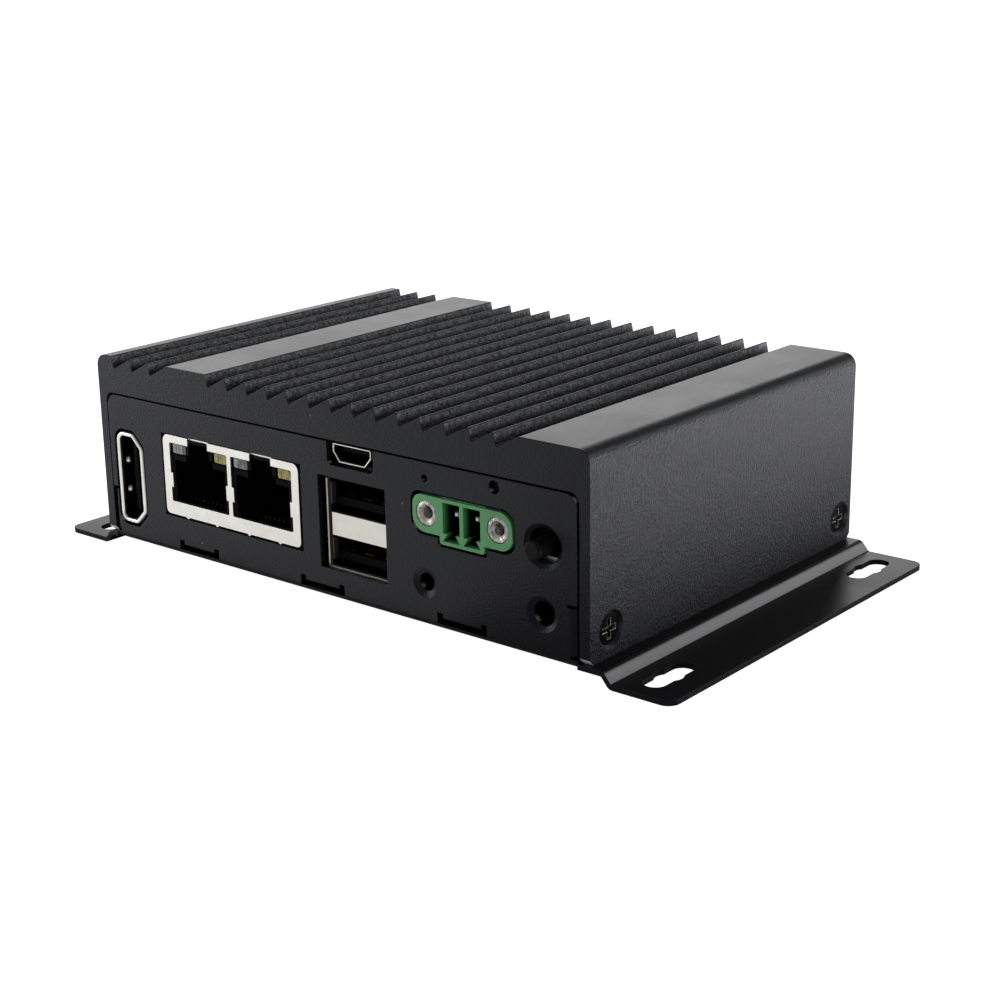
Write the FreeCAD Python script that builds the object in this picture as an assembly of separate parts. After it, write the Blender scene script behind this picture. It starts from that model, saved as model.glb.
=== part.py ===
import FreeCAD, Part
import math
import os

os.makedirs("parts", exist_ok=True)
V = FreeCAD.Vector

# All sizes in millimetres.  Working frame while building: x from the outside of the left wall,
# y from the front face of the tray towards the rear, z from the underside of the tray floor.

# Body
body_width = 101.2
body_depth = 70.6
body_height = 31.4
sheet = 0.8                  # folded steel tray
bend_inside = 0.4
flange_width = 13.4          # from the outside of a wall to the outer edge of a flange
flange_drop = 1.6            # underside of the flange below the underside of the floor
ledge = 1.9                  # floor outside the wall before it steps down
step_run = 1.3
left_inset = 2.5             # the left step, flange and slots stand this much nearer the body
flange_corner = 1.9
fit_gap = 0.35               # play between the tray panels and the cover walls
seam_gap = 0.25              # between the top edge of a panel and the roof
panel_corner = 1.9

# Wall mounting slots in the flanges
slot_inset = 7.7             # slot centre from the outside of the wall
slot_spacing = 55.0          # centre to centre, front to rear
slot_width = 3.4
slot_length = 10.2
slot_eye = 4.2               # round opening at the middle of each slot

# Extruded cover
wall = 1.75
roof = 4.1
fin_height = 2.15
fin_pitch = 4.49
fin_drop_run = 0.45
fin_peak_round = 0.22
fin_root_round = 0.3
cover_corner = 2.0
cover_inside_corner = 1.5
cover_setback = 0.1
left_fin_start = 4.2
left_fins = 3
flat_strip = 9.2             # plain strip between the left fins and the main fins
right_strip = 11.2
foot_bevel = 0.9             # milled off each lower end corner of the walls

# Side screws, M3 countersunk
screw_from_front = 5.0
screw_from_rear = 3.5
screw_height = 4.9
side_head = 4.9
side_sink = 5.6
side_hole = 3.3
side_thread = 2.5
side_screw_length = 3.55
recess_tool = 2.2            # across the cross recess of the driver
thread_gap = 0.02
collar_length = 1.0
collar_wall = 0.85
ear_length = 8.6
ear_top = 8.6
slit = 0.5
slit_length = 1.7

# Bend slots along the lower front edge
bend_slot_length = 9.3
bend_slot_height = 1.0
bend_slot_spacing = 27.9
bend_notch = 1.1
bend_notch_height = 0.7

# Heat path between the roof and the processor
block_x = 34.0
block_y = 28.0
block_thick = 1.2
pad_x = 17.0
pad_y = 15.0
pad_thick = 0.75
die_x = 11.0
die_y = 9.0
die_thick = 0.6
substrate_x = 24.0
substrate_y = 20.0
substrate_thick = 0.8
processor_right = 1.4        # from the middle of the body
processor_back = 6.7
block_screw_inset = 3.2
block_screw_thread = 2.05
block_screw_length = 4.2
block_head = 4.0
block_hole = 2.6

# Mainboard and its standoffs
board_thick = 1.6
board_side_gap = 0.9
board_end_gap = 0.5
standoff_across = 5.0
standoff_clear = 0.8         # between a standoff and the parts beside it
standoff_rear = 6.5          # rear standoffs in from the rear edge of the board
standoff_thread = 2.5
standoff_bore_depth = 7.0
board_hole = 3.2
board_head = 5.4
board_head_high = 1.9
board_screw_length = 7.0

# Sockets along the front panel: shares of the width that they leave free
gap_hdmi = 0.0719            # panel edge to display socket
gap_lan = 0.2529             # display socket to network socket
gap_usb = 0.2251             # network socket to USB pair
gap_term = 0.2448            # USB pair to terminal header
gap_switch = 0.0893          # terminal header to power switch

# Twin network socket
lan_width = 30.9
lan_height = 13.35
lan_depth = 21.0
lan_out = 0.1
lan_sheet = 0.3
lan_port_pitch = 14.35
lan_port_width = 13.5
lan_port_height = 9.85
lan_port_low = 2.25
lan_latch_width = 4.7
lan_plug_width = 11.8
lan_plug_height = 6.8
lan_plug_depth = 14.0
lan_led_width = 3.6
lan_led_height = 1.95
lan_led_depth = 9.0
lan_tab_low = 2.4            # small tabs at the sides of a port, above its floor
lan_tab_height = 2.4
lan_tab_width = 0.45
lan_contact_pitch = 1.02
lan_contact = 0.3
lan_contact_front = 2.0
lan_contact_bend = 1.4       # from the front of a contact to its bend
lan_contact_rise = 3.2
lan_contact_stem = 0.6

# Display socket, standing upright
hdmi_rise = 0.5284           # height of its middle, as a share from tray floor to board
hdmi_tube_width = 5.4
hdmi_tube_height = 14.7
hdmi_sheet = 0.4
hdmi_lip = 0.5               # rim beyond the outside of the tube
hdmi_out = 0.1
hdmi_rim_thick = 0.5
hdmi_depth = 11.0
hdmi_foot = 3.0              # saddle behind the tube, up to the board
hdmi_tongue_thick = 1.0
hdmi_tongue_height = 11.4
hdmi_contact = 0.22

# Stacked USB socket
usb_width = 13.2
usb_height = 14.6
usb_depth = 17.0
usb_back = 0.15              # front rim behind the inside of the panel
usb_drop = 0.95              # top of the shell below the board
usb_sheet = 0.3
usb_bridge_low = 5.35        # top of the lower port above the underside of the shell
usb_bridge_height = 3.6
usb_bridge_gap = 0.75        # slot at the left end of the plate between the ports
usb_tongue_thick = 1.3
usb_tongue_rise = 0.95       # underside of a tongue above the floor of its port
usb_tongue_back = 1.3        # front of a tongue behind the rim
usb_tongue_side = 0.75
usb_block_start = 10.0
usb_finger_start = 0.7       # springs in the side walls, behind the rim
usb_finger_rise = 0.7
usb_finger_flat = 0.7
usb_finger_fall = 2.4
usb_finger_in = 0.5
usb_finger_height = 3.5
usb_contact_outer = 3.5      # from the middle of the socket
usb_contact_inner = 1.0
usb_contact_width = 1.0
usb_contact_thick = 0.25
usb_contact_back = 0.8       # behind the front of the tongue
usb_cut_left = 0.75
usb_cut_right = -0.25
usb_cut_low = -0.15
usb_cut_top = 0.2

# Micro USB socket on top of the board
micro_shift = -0.5            # from the middle of the socket pair below it
micro_width = 7.8
micro_height = 2.9
micro_sheet = 0.25
micro_back = 0.45            # front rim behind the panel face
micro_depth = 6.0
micro_chamfer = 1.3
micro_cut_side = 0.8
micro_cut_low = 0.5

# Two-pole terminal header
term_width = 18.35
term_low = 5.7               # underside of the flange part below the board
term_top = 0.1               # top of the front plate below the board
term_core_width = 8.2
term_core_low = 6.9
term_out = 0.15
term_plate_depth = 1.6
term_depth = 9.4
term_pitch = 3.81
term_cavity_width = 3.15
term_cavity_height = 4.6
term_cavity_low = 1.7        # floor of a cavity above the underside of the core
term_insert_spacing = 13.2
term_insert = 3.9
term_insert_thread = 2.05
term_insert_length = 4.6
term_insert_lead = 0.35
term_axis = 2.8              # axis of the inserts below the board
term_pin_axis = 2.4          # axis of the pins below the board
term_pin = 0.8
term_pin_tip = 0.2           # bevel round the front end of a pin

# Power switch under the board
switch_axis = 3.6            # axis below the board
switch_width = 6.6
switch_low = 6.9
switch_depth = 4.2
switch_back = 0.45           # gap between the panel and the switch frame
button_width = 2.9
button_out = 2.5
button_flange = 4.0
button_flange_thick = 0.7
button_travel = 0.35
button_play = 0.12
frame_sheet = 0.3
frame_bar_below = 1.9        # top of the front bar below the axis
contact_plate = 0.12

# Reset switch and status light on top of the board
reset_shift = -6.9            # from the middle of the terminal header
reset_axis = 0.72            # axis above the board
reset_width = 4.2
reset_high = 2.4
reset_depth = 3.4
reset_plunger = 1.1
reset_plunger_flange = 1.4
reset_flange_thick = 0.5
reset_travel = 0.3
reset_hole = 1.15
light_shift = 6.0             # from the middle of the terminal header
light_axis = 1.7
light_lens = 1.7
light_width = 3.0
light_depth = 2.0
light_hole = 1.95
light_back = 0.6             # tip of the lens behind the inside of the panel

# Formed dimples of the front panel
dimple_small_shift = -7.3     # from the middle of the terminal header
dimple_large_shift = -0.2     # from the axis of the power switch
dimple_z = 6.7
dimple_small_outer = 4.6
dimple_small_inner = 2.7
dimple_large_outer = 5.3
dimple_large_inner = 3.6
button_dimple_outer = 6.6
button_dimple_inner = 5.2
dimple_depth = 0.5

# Clearance of the panel openings round the sockets
port_gap = 0.45

# Loose parts on the board
memory_x = 7.5
memory_y = 11.0
memory_thick = 1.0
storage_x = 11.5
storage_y = 13.0
storage_thick = 1.1
network_side = 7.0
network_thick = 0.9
inductor_side = 7.0
inductor_high = 4.2
capacitor_width = 6.3
capacitor_high = 7.7
cell_width = 12.5
cell_thick = 2.0
cell_play = 0.15
holder_wall = 1.1
holder_floor = 0.8
holder_lip = 0.3
holder_gap = 5.0             # opening of the ring towards the front
holder_from_right = 21.2     # middle of the cell from the right side of the body
holder_from_rear = 12.6
cell_lid_step = 1.0
cell_lid_thick = 0.4
memory_gap_x = 1.5
memory_gap_y = 1.6
network_behind = 2.0         # middle of a network chip behind the rear of its socket
inductor_gap = 3.0
inductor_from_rear = 10.0
capacitor_gap = 2.0
capacitor_base = 1.0
capacitor_foot = 6.6
groove_step = 1.3
groove_width = 0.5
groove_depth = 0.3
chip_bevel = 0.15
inductor_round = 0.8

# ---------------------------------------------------------------- derived levels
front_y = -(body_depth - button_out) / 2.0
roof_z = body_height - fin_height - roof
panel_top = roof_z - seam_gap
board_top = roof_z - block_thick - pad_thick - die_thick - substrate_thick
board_under = board_top - board_thick
panel_left = wall + fit_gap
panel_right = body_width - panel_left
bend_outside = bend_inside + sheet
board_front = sheet + board_end_gap
board_rear = body_depth - sheet - board_end_gap
board_left = panel_left + board_side_gap
board_right = panel_right - board_side_gap
step_angle = math.atan2(flange_drop, step_run)
rim_width = hdmi_tube_width + 2.0 * hdmi_lip
hdmi_middle = sheet + (board_under - sheet) * hdmi_rise
row_free = (panel_right - panel_left - rim_width - lan_width - usb_width - term_width
            - switch_width)
hdmi_centre = panel_left + row_free * gap_hdmi + rim_width / 2.0
lan_centre = hdmi_centre + rim_width / 2.0 + row_free * gap_lan + lan_width / 2.0
usb_left = lan_centre + lan_width / 2.0 + row_free * gap_usb
micro_centre = usb_left + usb_width / 2.0 + micro_shift
term_centre = usb_left + usb_width + row_free * gap_term + term_width / 2.0
switch_x = term_centre + term_width / 2.0 + row_free * gap_switch + switch_width / 2.0
reset_x = term_centre + reset_shift
light_x = term_centre + light_shift
dimple_small_x = term_centre + dimple_small_shift
dimple_large_x = switch_x + dimple_large_shift
processor_x = body_width / 2.0 + processor_right
processor_y = body_depth / 2.0 + processor_back
standoff_reach = standoff_across / math.sqrt(3.0)
screw_reach = side_screw_length + max(0.0, (side_sink - side_head) / 2.0)
ear_reach = panel_left + sheet + collar_length
standoff_inset = max(screw_reach, ear_reach) + standoff_clear + standoff_reach
standoff_front = hdmi_depth + hdmi_foot + standoff_clear + standoff_reach


# ---------------------------------------------------------------- helpers
def box(x0, x1, y0, y1, z0, z1):
    return Part.makeBox(x1 - x0, y1 - y0, z1 - z0, V(x0, y0, z0))


def rod(x, y, z, radius, length, axis):
    direction = {"x": V(1, 0, 0), "y": V(0, 1, 0), "z": V(0, 0, 1)}[axis]
    return Part.makeCylinder(radius, length, V(x, y, z), direction)


def cone(x, y, z, r_start, r_end, length, axis):
    direction = {"x": V(1, 0, 0), "y": V(0, 1, 0), "z": V(0, 0, 1)}[axis]
    return Part.makeCone(r_start, r_end, length, V(x, y, z), direction)


def unit(a, b):
    size = math.hypot(a, b)
    return a / size, b / size


def corner(before, point, after):
    """Tangent points and arc middle of one rounded corner."""
    a, b, radius = point
    u = unit(before[0] - a, before[1] - b)
    w = unit(after[0] - a, after[1] - b)
    angle = math.acos(max(-1.0, min(1.0, u[0] * w[0] + u[1] * w[1])))
    if radius <= 0.0 or angle > math.pi - 1e-3:
        return (a, b), (a, b), None
    run = radius / math.tan(angle / 2.0)
    half = unit(u[0] + w[0], u[1] + w[1])
    reach = radius / math.sin(angle / 2.0) - radius
    start = (a + u[0] * run, b + u[1] * run)
    end = (a + w[0] * run, b + w[1] * run)
    return start, end, (a + half[0] * reach, b + half[1] * reach)


def prism(points, plane, at, length):
    """Extrude a closed outline of (a, b, corner radius) points normal to its plane."""
    place = {"xz": lambda a, b: V(a, at, b), "yz": lambda a, b: V(at, a, b),
             "xy": lambda a, b: V(a, b, at)}[plane]
    along = {"xz": V(0, length, 0), "yz": V(length, 0, 0), "xy": V(0, 0, length)}[plane]
    count = len(points)
    corners = []
    for i in range(count):
        corners.append(corner(points[i - 1], points[i], points[(i + 1) % count]))
    edges = []
    for i in range(count):
        start, end, middle = corners[i]
        if middle is not None:
            edges.append(Part.Arc(place(*start), place(*middle), place(*end)).toShape())
        following = corners[(i + 1) % count][0]
        if math.hypot(following[0] - end[0], following[1] - end[1]) > 1e-6:
            edges.append(Part.LineSegment(place(*end), place(*following)).toShape())
    return Part.Face(Part.Wire(edges)).extrude(along)


def rectangle(x0, x1, z0, z1, radius=0.0):
    return [(x0, z0, radius), (x1, z0, radius), (x1, z1, radius), (x0, z1, radius)]


def fuse(first, others):
    return first.multiFuse(others).removeSplitter()


def across(shape):
    """Mirror about the middle of the body, left to right."""
    return shape.mirror(V(body_width / 2.0, 0, 0), V(1, 0, 0))


def along(shape):
    """Mirror about the middle of the body, front to rear."""
    return shape.mirror(V(0, body_depth / 2.0, 0), V(0, 1, 0))


def four(shape):
    return [shape, across(shape), along(shape), along(across(shape))]


def at_ends(make):
    """Four copies of a side feature: the front pair and the rear pair, left and right."""
    front = make(screw_from_front)
    rear = along(make(screw_from_rear))
    return [front, across(front), rear, across(rear)]


def save(name, shapes):
    """Write one node; several shapes become separate solids of one group."""
    solids = []
    for item in shapes:
        solids.extend(item.Solids)
    shape = solids[0] if len(solids) == 1 else Part.makeCompound(solids)
    shape = shape.copy()
    shape.translate(V(-(body_width + left_inset) / 2.0, front_y, flange_drop))
    shape.exportStep("parts/" + name + ".step")


# ---------------------------------------------------------------- extruded cover
def fin_roots():
    roots = [left_fin_start + k * fin_pitch for k in range(left_fins)]
    start = roots[-1] + fin_pitch + flat_strip
    room = body_width - right_strip - start - fin_pitch
    count = int(room / fin_pitch + 1e-6) + 1
    roots.extend(start + k * fin_pitch for k in range(count))
    return roots


def cover_outline():
    top = body_height
    points = [(0.0, sheet, 0.0), (0.0, top, cover_corner)]
    roots = fin_roots()
    for k, root in enumerate(roots):
        points.append((root - fin_drop_run, top, fin_peak_round))
        points.append((root, top - fin_height, fin_root_round))
        last = k + 1 == len(roots)
        if last or roots[k + 1] - root > fin_pitch + 0.01:
            points.append((root + fin_pitch - fin_drop_run, top, 0.5))
    points.append((body_width, top, cover_corner))
    points.append((body_width, sheet, 0.0))
    points.append((body_width - wall, sheet, 0.0))
    points.append((body_width - wall, roof_z, cover_inside_corner))
    points.append((wall, roof_z, cover_inside_corner))
    points.append((wall, sheet, 0.0))
    return points


def block_screw_places():
    places = []
    for sx in (-1, 1):
        for sy in (-1, 1):
            x = processor_x + sx * (block_x / 2.0 - block_screw_inset)
            y = processor_y + sy * (block_y / 2.0 - block_screw_inset)
            places.append((x, y))
    return places


def side_hole_tool(from_end):
    """Countersunk clearance hole through the left wall."""
    sink = (side_sink - side_hole) / 2.0
    hole = cone(0.0, from_end, screw_height, side_sink / 2.0, side_hole / 2.0, sink, "x")
    return hole.fuse(rod(-1.0, from_end, screw_height, side_hole / 2.0, wall + 2.0, "x"))


def heatsink_cover():
    length = body_depth - 2.0 * cover_setback
    body = prism(cover_outline(), "xz", cover_setback, length)
    end = cover_setback
    bevel = prism([(end - 1.0, sheet - 1.0, 0.0), (end + foot_bevel + 1.0, sheet - 1.0, 0.0),
                   (end - 1.0, sheet + foot_bevel + 1.0, 0.0)], "yz", -1.0, wall + 2.0)
    tools = at_ends(side_hole_tool) + four(bevel)
    depth = block_screw_length - block_thick + 0.6
    for x, y in block_screw_places():
        tools.append(rod(x, y, roof_z - 1.0, block_screw_thread / 2.0 + thread_gap, depth + 1.0, "z"))
    return body.cut(Part.makeCompound(tools))


# ---------------------------------------------------------------- folded tray
def side_strip(inset):
    """Floor edge, step and flange on the left, moved inwards by the inset, as one bent strip."""
    shift = sheet * math.tan(step_angle / 2.0)
    outer = inset - flange_width
    edge = inset - ledge
    foot = edge - step_run
    low = -flange_drop
    points = [(outer, low, 0.0), (foot, low, bend_outside), (edge, 0.0, bend_inside),
              (panel_left, 0.0, 0.0), (panel_left, sheet, 0.0),
              (edge - shift, sheet, bend_outside), (foot - shift, low + sheet, bend_inside),
              (outer, low + sheet, 0.0)]
    return prism(points, "xz", 0.0, body_depth)


def ear(from_end):
    """Front left ear, bent back from the panel edge, with its threaded collar."""
    low = bend_outside + slit
    x = panel_left
    points = [(x + bend_outside, 0.0, 0.0), (x, 0.0, bend_outside - 0.001), (x, ear_length, 0.0),
              (x + sheet, ear_length, 0.0), (x + sheet, sheet, bend_inside - 0.001),
              (x + bend_outside, sheet, 0.0)]
    body = prism(points, "xy", low, ear_top - low)
    collar = rod(x + sheet / 2.0, from_end, screw_height,
                 side_thread / 2.0 + collar_wall, sheet / 2.0 + collar_length, "x")
    bore = rod(x - 1.0, from_end, screw_height, side_thread / 2.0,
               sheet + collar_length + 2.0, "x")
    return body.fuse(collar).cut(bore)


def ear_clearance():
    x = panel_left
    low = bend_outside
    fold = box(x - 1.0, x + bend_outside, -1.0, sheet + 1.0, low, ear_top)
    cut = box(x - 1.0, x + slit_length, -1.0, sheet + 1.0, ear_top, ear_top + slit)
    return fold.fuse(cut)


def dimple_form(x, z, outer, inner):
    """Material pressed inwards round a hole, and the tool that opens it."""
    deep = dimple_depth
    spread = 0.55 * sheet
    form = cone(x, sheet / 2.0, z, outer / 2.0 + spread, inner / 2.0 + spread, deep + sheet / 2.0, "y")
    tool = cone(x, 0.0, z, outer / 2.0, inner / 2.0, deep, "y")
    tool = tool.fuse(rod(x, -1.0, z, inner / 2.0, deep + sheet + 3.0, "y"))
    return form, tool


def bend_slot(middle):
    half = bend_slot_length / 2.0
    low = sheet + 0.12
    high = low + bend_slot_height
    parts = [box(middle - half, middle + half, -1.0, bend_outside + 0.4, low, high)]
    for edge in (middle - half, middle + half - bend_notch):
        parts.append(box(edge, edge + bend_notch, -1.0, bend_outside + 0.4,
                         low, high + bend_notch_height))
    return parts


def mount_slot(inset):
    """Left front slot through the flange, long axis front to rear, round eye at its middle."""
    x = inset - slot_inset
    y = (body_depth - slot_spacing) / 2.0
    half = slot_width / 2.0
    reach = slot_length / 2.0
    low = -flange_drop - 1.0
    points = rectangle(x - half, x + half, y - reach, y + reach, half - 0.001)
    slot = prism(points, "xy", low, sheet + 2.0)
    return slot.fuse(rod(x, y, low, slot_eye / 2.0, sheet + 2.0, "z"))


def hdmi_outline(grow):
    """Upright tube outline, grown outwards: flat long side left, sloped corners right."""
    x0 = hdmi_centre - hdmi_tube_width / 2.0 - grow
    x1 = hdmi_centre + hdmi_tube_width / 2.0 + grow
    z0 = hdmi_middle - hdmi_tube_height / 2.0 - grow
    z1 = hdmi_middle + hdmi_tube_height / 2.0 + grow
    slope = 2.0 + 0.5 * grow
    tight = 0.6 + 0.5 * grow
    return [(x0, z0, 2.0 * tight), (x1 - slope, z0, tight), (x1, z0 + slope, tight),
            (x1, z1 - slope, tight), (x1 - slope, z1, tight), (x0, z1, 2.0 * tight)]


def term_outline(grow):
    x0 = term_centre - term_width / 2.0 - grow
    x1 = term_centre + term_width / 2.0 + grow
    c0 = term_centre - term_core_width / 2.0 - grow
    c1 = term_centre + term_core_width / 2.0 + grow
    low = board_under - term_low - grow
    core = board_under - term_core_low - grow
    high = board_under - term_top + grow
    return [(x0, low, 2.3), (c0, low, 0.0), (c0, core, 0.5), (c1, core, 0.3), (c1, low, 0.0),
            (x1, low, 2.0), (x1, high, 2.4), (x0, high, 1.6)]


def lan_box():
    x0 = lan_centre - lan_width / 2.0
    return x0, x0 + lan_width, board_under - lan_height, board_under


def chassis_tray():
    top = panel_top
    end = body_depth
    path = [(0.0, 0.0, bend_outside), (end, 0.0, bend_outside), (end, top, 0.0),
            (end - sheet, top, 0.0), (end - sheet, sheet, bend_inside),
            (sheet, sheet, bend_inside), (sheet, top, 0.0), (0.0, top, 0.0)]
    middle = prism(path, "yz", panel_left, panel_right - panel_left)
    face = [(panel_left, -1.0, 0.0), (panel_right, -1.0, 0.0),
            (panel_right, top, panel_corner), (panel_left, top, panel_corner)]
    middle = middle.common(prism(face, "xz", -1.0, end + 2.0))
    foot = rectangle(left_inset - flange_width, body_width + flange_width, 0.0, end, flange_corner)
    plan = prism(foot, "xy", -flange_drop - 1.0, body_height)
    strips = [side_strip(left_inset).common(plan), across(side_strip(0.0)).common(plan)]
    clear = ear_clearance()
    middle = middle.cut(Part.makeCompound(four(clear)))

    tools = []
    for slot in (mount_slot(left_inset), across(mount_slot(0.0))):
        tools.extend([slot, along(slot)])
    for k in (-1, 0, 1):
        tools.extend(bend_slot(body_width / 2.0 + k * bend_slot_spacing))
    tools.append(prism(hdmi_outline(hdmi_lip + port_gap), "xz", -1.0, sheet + 2.0))
    x0, x1, z0, z1 = lan_box()
    tools.append(box(x0 - port_gap, x1 + port_gap, -1.0, sheet + 1.0, z0 - port_gap, z1 + 0.1))
    front, low, high, lower, upper = usb_levels()
    tools.append(box(usb_left - usb_cut_left, usb_left + usb_width + usb_cut_right, -1.0, sheet + 0.01,
                     low - usb_cut_low, high + usb_cut_top))
    tools.append(prism(micro_cut(top), "xz", -1.0, sheet + 1.01))
    tools.append(prism(term_outline(port_gap), "xz", -1.0, sheet + 2.0))
    tools.append(rod(reset_x, -1.0, board_top + reset_axis, reset_hole / 2.0, sheet + 2.0, "y"))
    tools.append(rod(light_x, -1.0, board_top + light_axis, light_hole / 2.0, sheet + 2.0, "y"))
    forms = []
    axis_z = board_under - switch_axis
    for x, z, outer, inner in ((dimple_small_x, dimple_z, dimple_small_outer, dimple_small_inner),
                               (dimple_large_x, dimple_z, dimple_large_outer, dimple_large_inner),
                               (switch_x, axis_z, button_dimple_outer, button_dimple_inner)):
        form, tool = dimple_form(x, z, outer, inner)
        forms.append(form)
        tools.append(tool)
    body = fuse(middle, strips + at_ends(ear) + forms)
    return body.cut(Part.makeCompound(tools)).removeSplitter()


# ---------------------------------------------------------------- screws
def cross_recess(x, y, z, depth, axis, size):
    """Tapered cross cut into a screw head from its outer face."""
    thin = size * 0.2
    if axis == "x":
        return [box(x, x + depth, y - size / 2.0, y + size / 2.0, z - thin / 2.0, z + thin / 2.0),
                box(x, x + depth, y - thin / 2.0, y + thin / 2.0, z - size / 2.0, z + size / 2.0)]
    return [box(x - size / 2.0, x + size / 2.0, y - thin / 2.0, y + thin / 2.0, z, z + depth),
            box(x - thin / 2.0, x + thin / 2.0, y - size / 2.0, y + size / 2.0, z, z + depth)]


def side_screw(y):
    """Countersunk screw seated in the conical sink of the wall."""
    z = screw_height
    sunk = (side_sink - side_head) / 2.0
    shank = side_thread / 2.0 - thread_gap
    taper = side_head / 2.0 - shank
    head = cone(sunk, y, z, side_head / 2.0, shank, taper, "x")
    stem = rod(sunk, y, z, shank, side_screw_length, "x")
    body = head.fuse(stem).removeSplitter()
    return body.cut(Part.makeCompound(cross_recess(sunk - 0.01, y, z, 0.75, "x", recess_tool * 1.25)))


def block_screw(x, y):
    """Countersunk screw up through the spreader block into the roof."""
    shank = block_screw_thread / 2.0
    taper = block_head / 2.0 - shank
    low = roof_z - block_thick
    head = cone(x, y, low, block_head / 2.0, shank, taper, "z")
    stem = rod(x, y, low, shank, block_screw_length, "z")
    return head.fuse(stem).removeSplitter()


def board_screw(x, y):
    """Pan head screw down through the board into a standoff."""
    shank = standoff_thread / 2.0 - thread_gap
    head = rod(x, y, board_top, board_head / 2.0, board_head_high, "z")
    rim = [edge for edge in head.Edges if edge.BoundBox.ZMin > board_top + board_head_high - 0.01]
    head = head.makeFillet(0.6, rim[:1])
    stem = rod(x, y, board_top - board_screw_length, shank, board_screw_length + 0.5, "z")
    body = head.fuse(stem).removeSplitter()
    low = board_top + board_head_high - 1.1
    return body.cut(Part.makeCompound(cross_recess(x, y, low, 1.2, "z", 2.9)))


# ---------------------------------------------------------------- board
def standoff_places():
    places = []
    for x in (standoff_inset, body_width - standoff_inset):
        for y in (standoff_front, board_rear - standoff_rear):
            places.append((x, y))
    return places


def mainboard():
    outline = rectangle(board_left, board_right, board_front, board_rear, 1.5)
    body = prism(outline, "xy", board_under, board_thick)
    tools = []
    for x, y in standoff_places():
        tools.append(rod(x, y, board_under - 1.0, board_hole / 2.0, board_thick + 2.0, "z"))
    return body.cut(Part.makeCompound(tools))


def standoff(x, y):
    """Hexagonal standoff with its threaded bore at the top."""
    radius = standoff_reach
    points = []
    for k in range(6):
        angle = math.radians(60.0 * k)
        points.append((x + radius * math.cos(angle), y + radius * math.sin(angle), 0.0))
    body = prism(points, "xy", sheet, board_under - sheet)
    bore = rod(x, y, board_under - standoff_bore_depth, standoff_thread / 2.0,
               standoff_bore_depth + 1.0, "z")
    return body.cut(bore)


def heat_block():
    low = roof_z - block_thick
    half_x = block_x / 2.0
    half_y = block_y / 2.0
    outline = rectangle(processor_x - half_x, processor_x + half_x,
                        processor_y - half_y, processor_y + half_y, 1.5)
    body = prism(outline, "xy", low, block_thick)
    tools = []
    shank = block_screw_thread / 2.0
    taper = block_head / 2.0 - shank
    for x, y in block_screw_places():
        tools.append(cone(x, y, low, block_head / 2.0, shank, taper, "z"))
        tools.append(rod(x, y, low - 1.0, block_hole / 2.0, block_thick + 2.0, "z"))
    return body.cut(Part.makeCompound(tools))


def slab(x, y, size_x, size_y, z, thick):
    return box(x - size_x / 2.0, x + size_x / 2.0, y - size_y / 2.0, y + size_y / 2.0, z, z + thick)


def chip(x, y, size_x, size_y, z, thick):
    """Moulded package with a small bevel round its upper edge."""
    body = slab(x, y, size_x, size_y, z, thick)
    top = [edge for edge in body.Edges if edge.BoundBox.ZMin > z + thick - 0.01]
    return body.makeChamfer(chip_bevel, top)


def memory_chips():
    step = memory_x + memory_gap_x
    side = processor_x - substrate_x / 2.0 - memory_x
    places = []
    for column in (0, 1):
        for row in (-1, 1):
            x = side - column * step
            places.append((x, processor_y + row * (memory_y + memory_gap_y) / 2.0))
    return [chip(x, y, memory_x, memory_y, board_top, memory_thick) for x, y in places]


def inductor(x, y):
    """Moulded power inductor hanging under the board."""
    low = board_under - inductor_high
    half = inductor_side / 2.0
    outline = rectangle(x - half, x + half, y - half, y + half, inductor_round)
    body = prism(outline, "xy", low, inductor_high)
    return body


def capacitor(x, y):
    """Round can with its square base against the underside of the board."""
    low = board_under - capacitor_base - groove_step
    radius = capacitor_width / 2.0
    foot = slab(x, y, capacitor_foot, capacitor_foot, board_under - capacitor_base, capacitor_base)
    can = rod(x, y, board_under - capacitor_high, radius, capacitor_high - capacitor_base, "z")
    groove = rod(x, y, low, radius + 1.0, groove_width, "z")
    core = rod(x, y, low, radius - groove_depth, groove_width, "z")
    return foot.fuse(can.cut(groove.cut(core))).removeSplitter()


def battery_holder():
    """Open ring with a floor against the board; the cell drops in from below."""
    x, y = battery_place()
    outer = cell_width / 2.0 + cell_play + holder_wall
    height = holder_floor + cell_thick + holder_lip
    body = rod(x, y, board_under - height, outer, height, "z")
    body = body.cut(rod(x, y, board_under - height - 1.0, cell_width / 2.0 + cell_play,
                        height - holder_floor + 1.0, "z"))
    gap = box(x - holder_gap / 2.0, x + holder_gap / 2.0, y - outer - 1.0, y, board_under - height - 1.0,
              board_under - holder_floor)
    return body.cut(gap)


def battery_place():
    return body_width - holder_from_right, body_depth - holder_from_rear


def clock_cell():
    x, y = battery_place()
    low = board_under - holder_floor - cell_thick
    lid = rod(x, y, low, cell_width / 2.0 - cell_lid_step, cell_lid_thick, "z")
    can = rod(x, y, low + cell_lid_thick, cell_width / 2.0, cell_thick - cell_lid_thick, "z")
    return lid.fuse(can).removeSplitter()


# ---------------------------------------------------------------- network socket
def lan_ports():
    return [lan_centre - lan_port_pitch / 2.0, lan_centre + lan_port_pitch / 2.0]


def lan_levels():
    x0, x1, z0, z1 = lan_box()
    floor = z0 + lan_port_low
    return floor, floor + lan_port_height, floor + 0.2


def lan_outline(inset):
    """Rounded outline of the shell, or of its inside when inset by the sheet."""
    x0, x1, z0, z1 = lan_box()
    low = 0.9 - inset
    high = 1.2 - inset
    return [(x0 + inset, z0 + inset, low), (x1 - inset, z0 + inset, low),
            (x1 - inset, z1 - inset, high), (x0 + inset, z1 - inset, high)]


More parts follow.
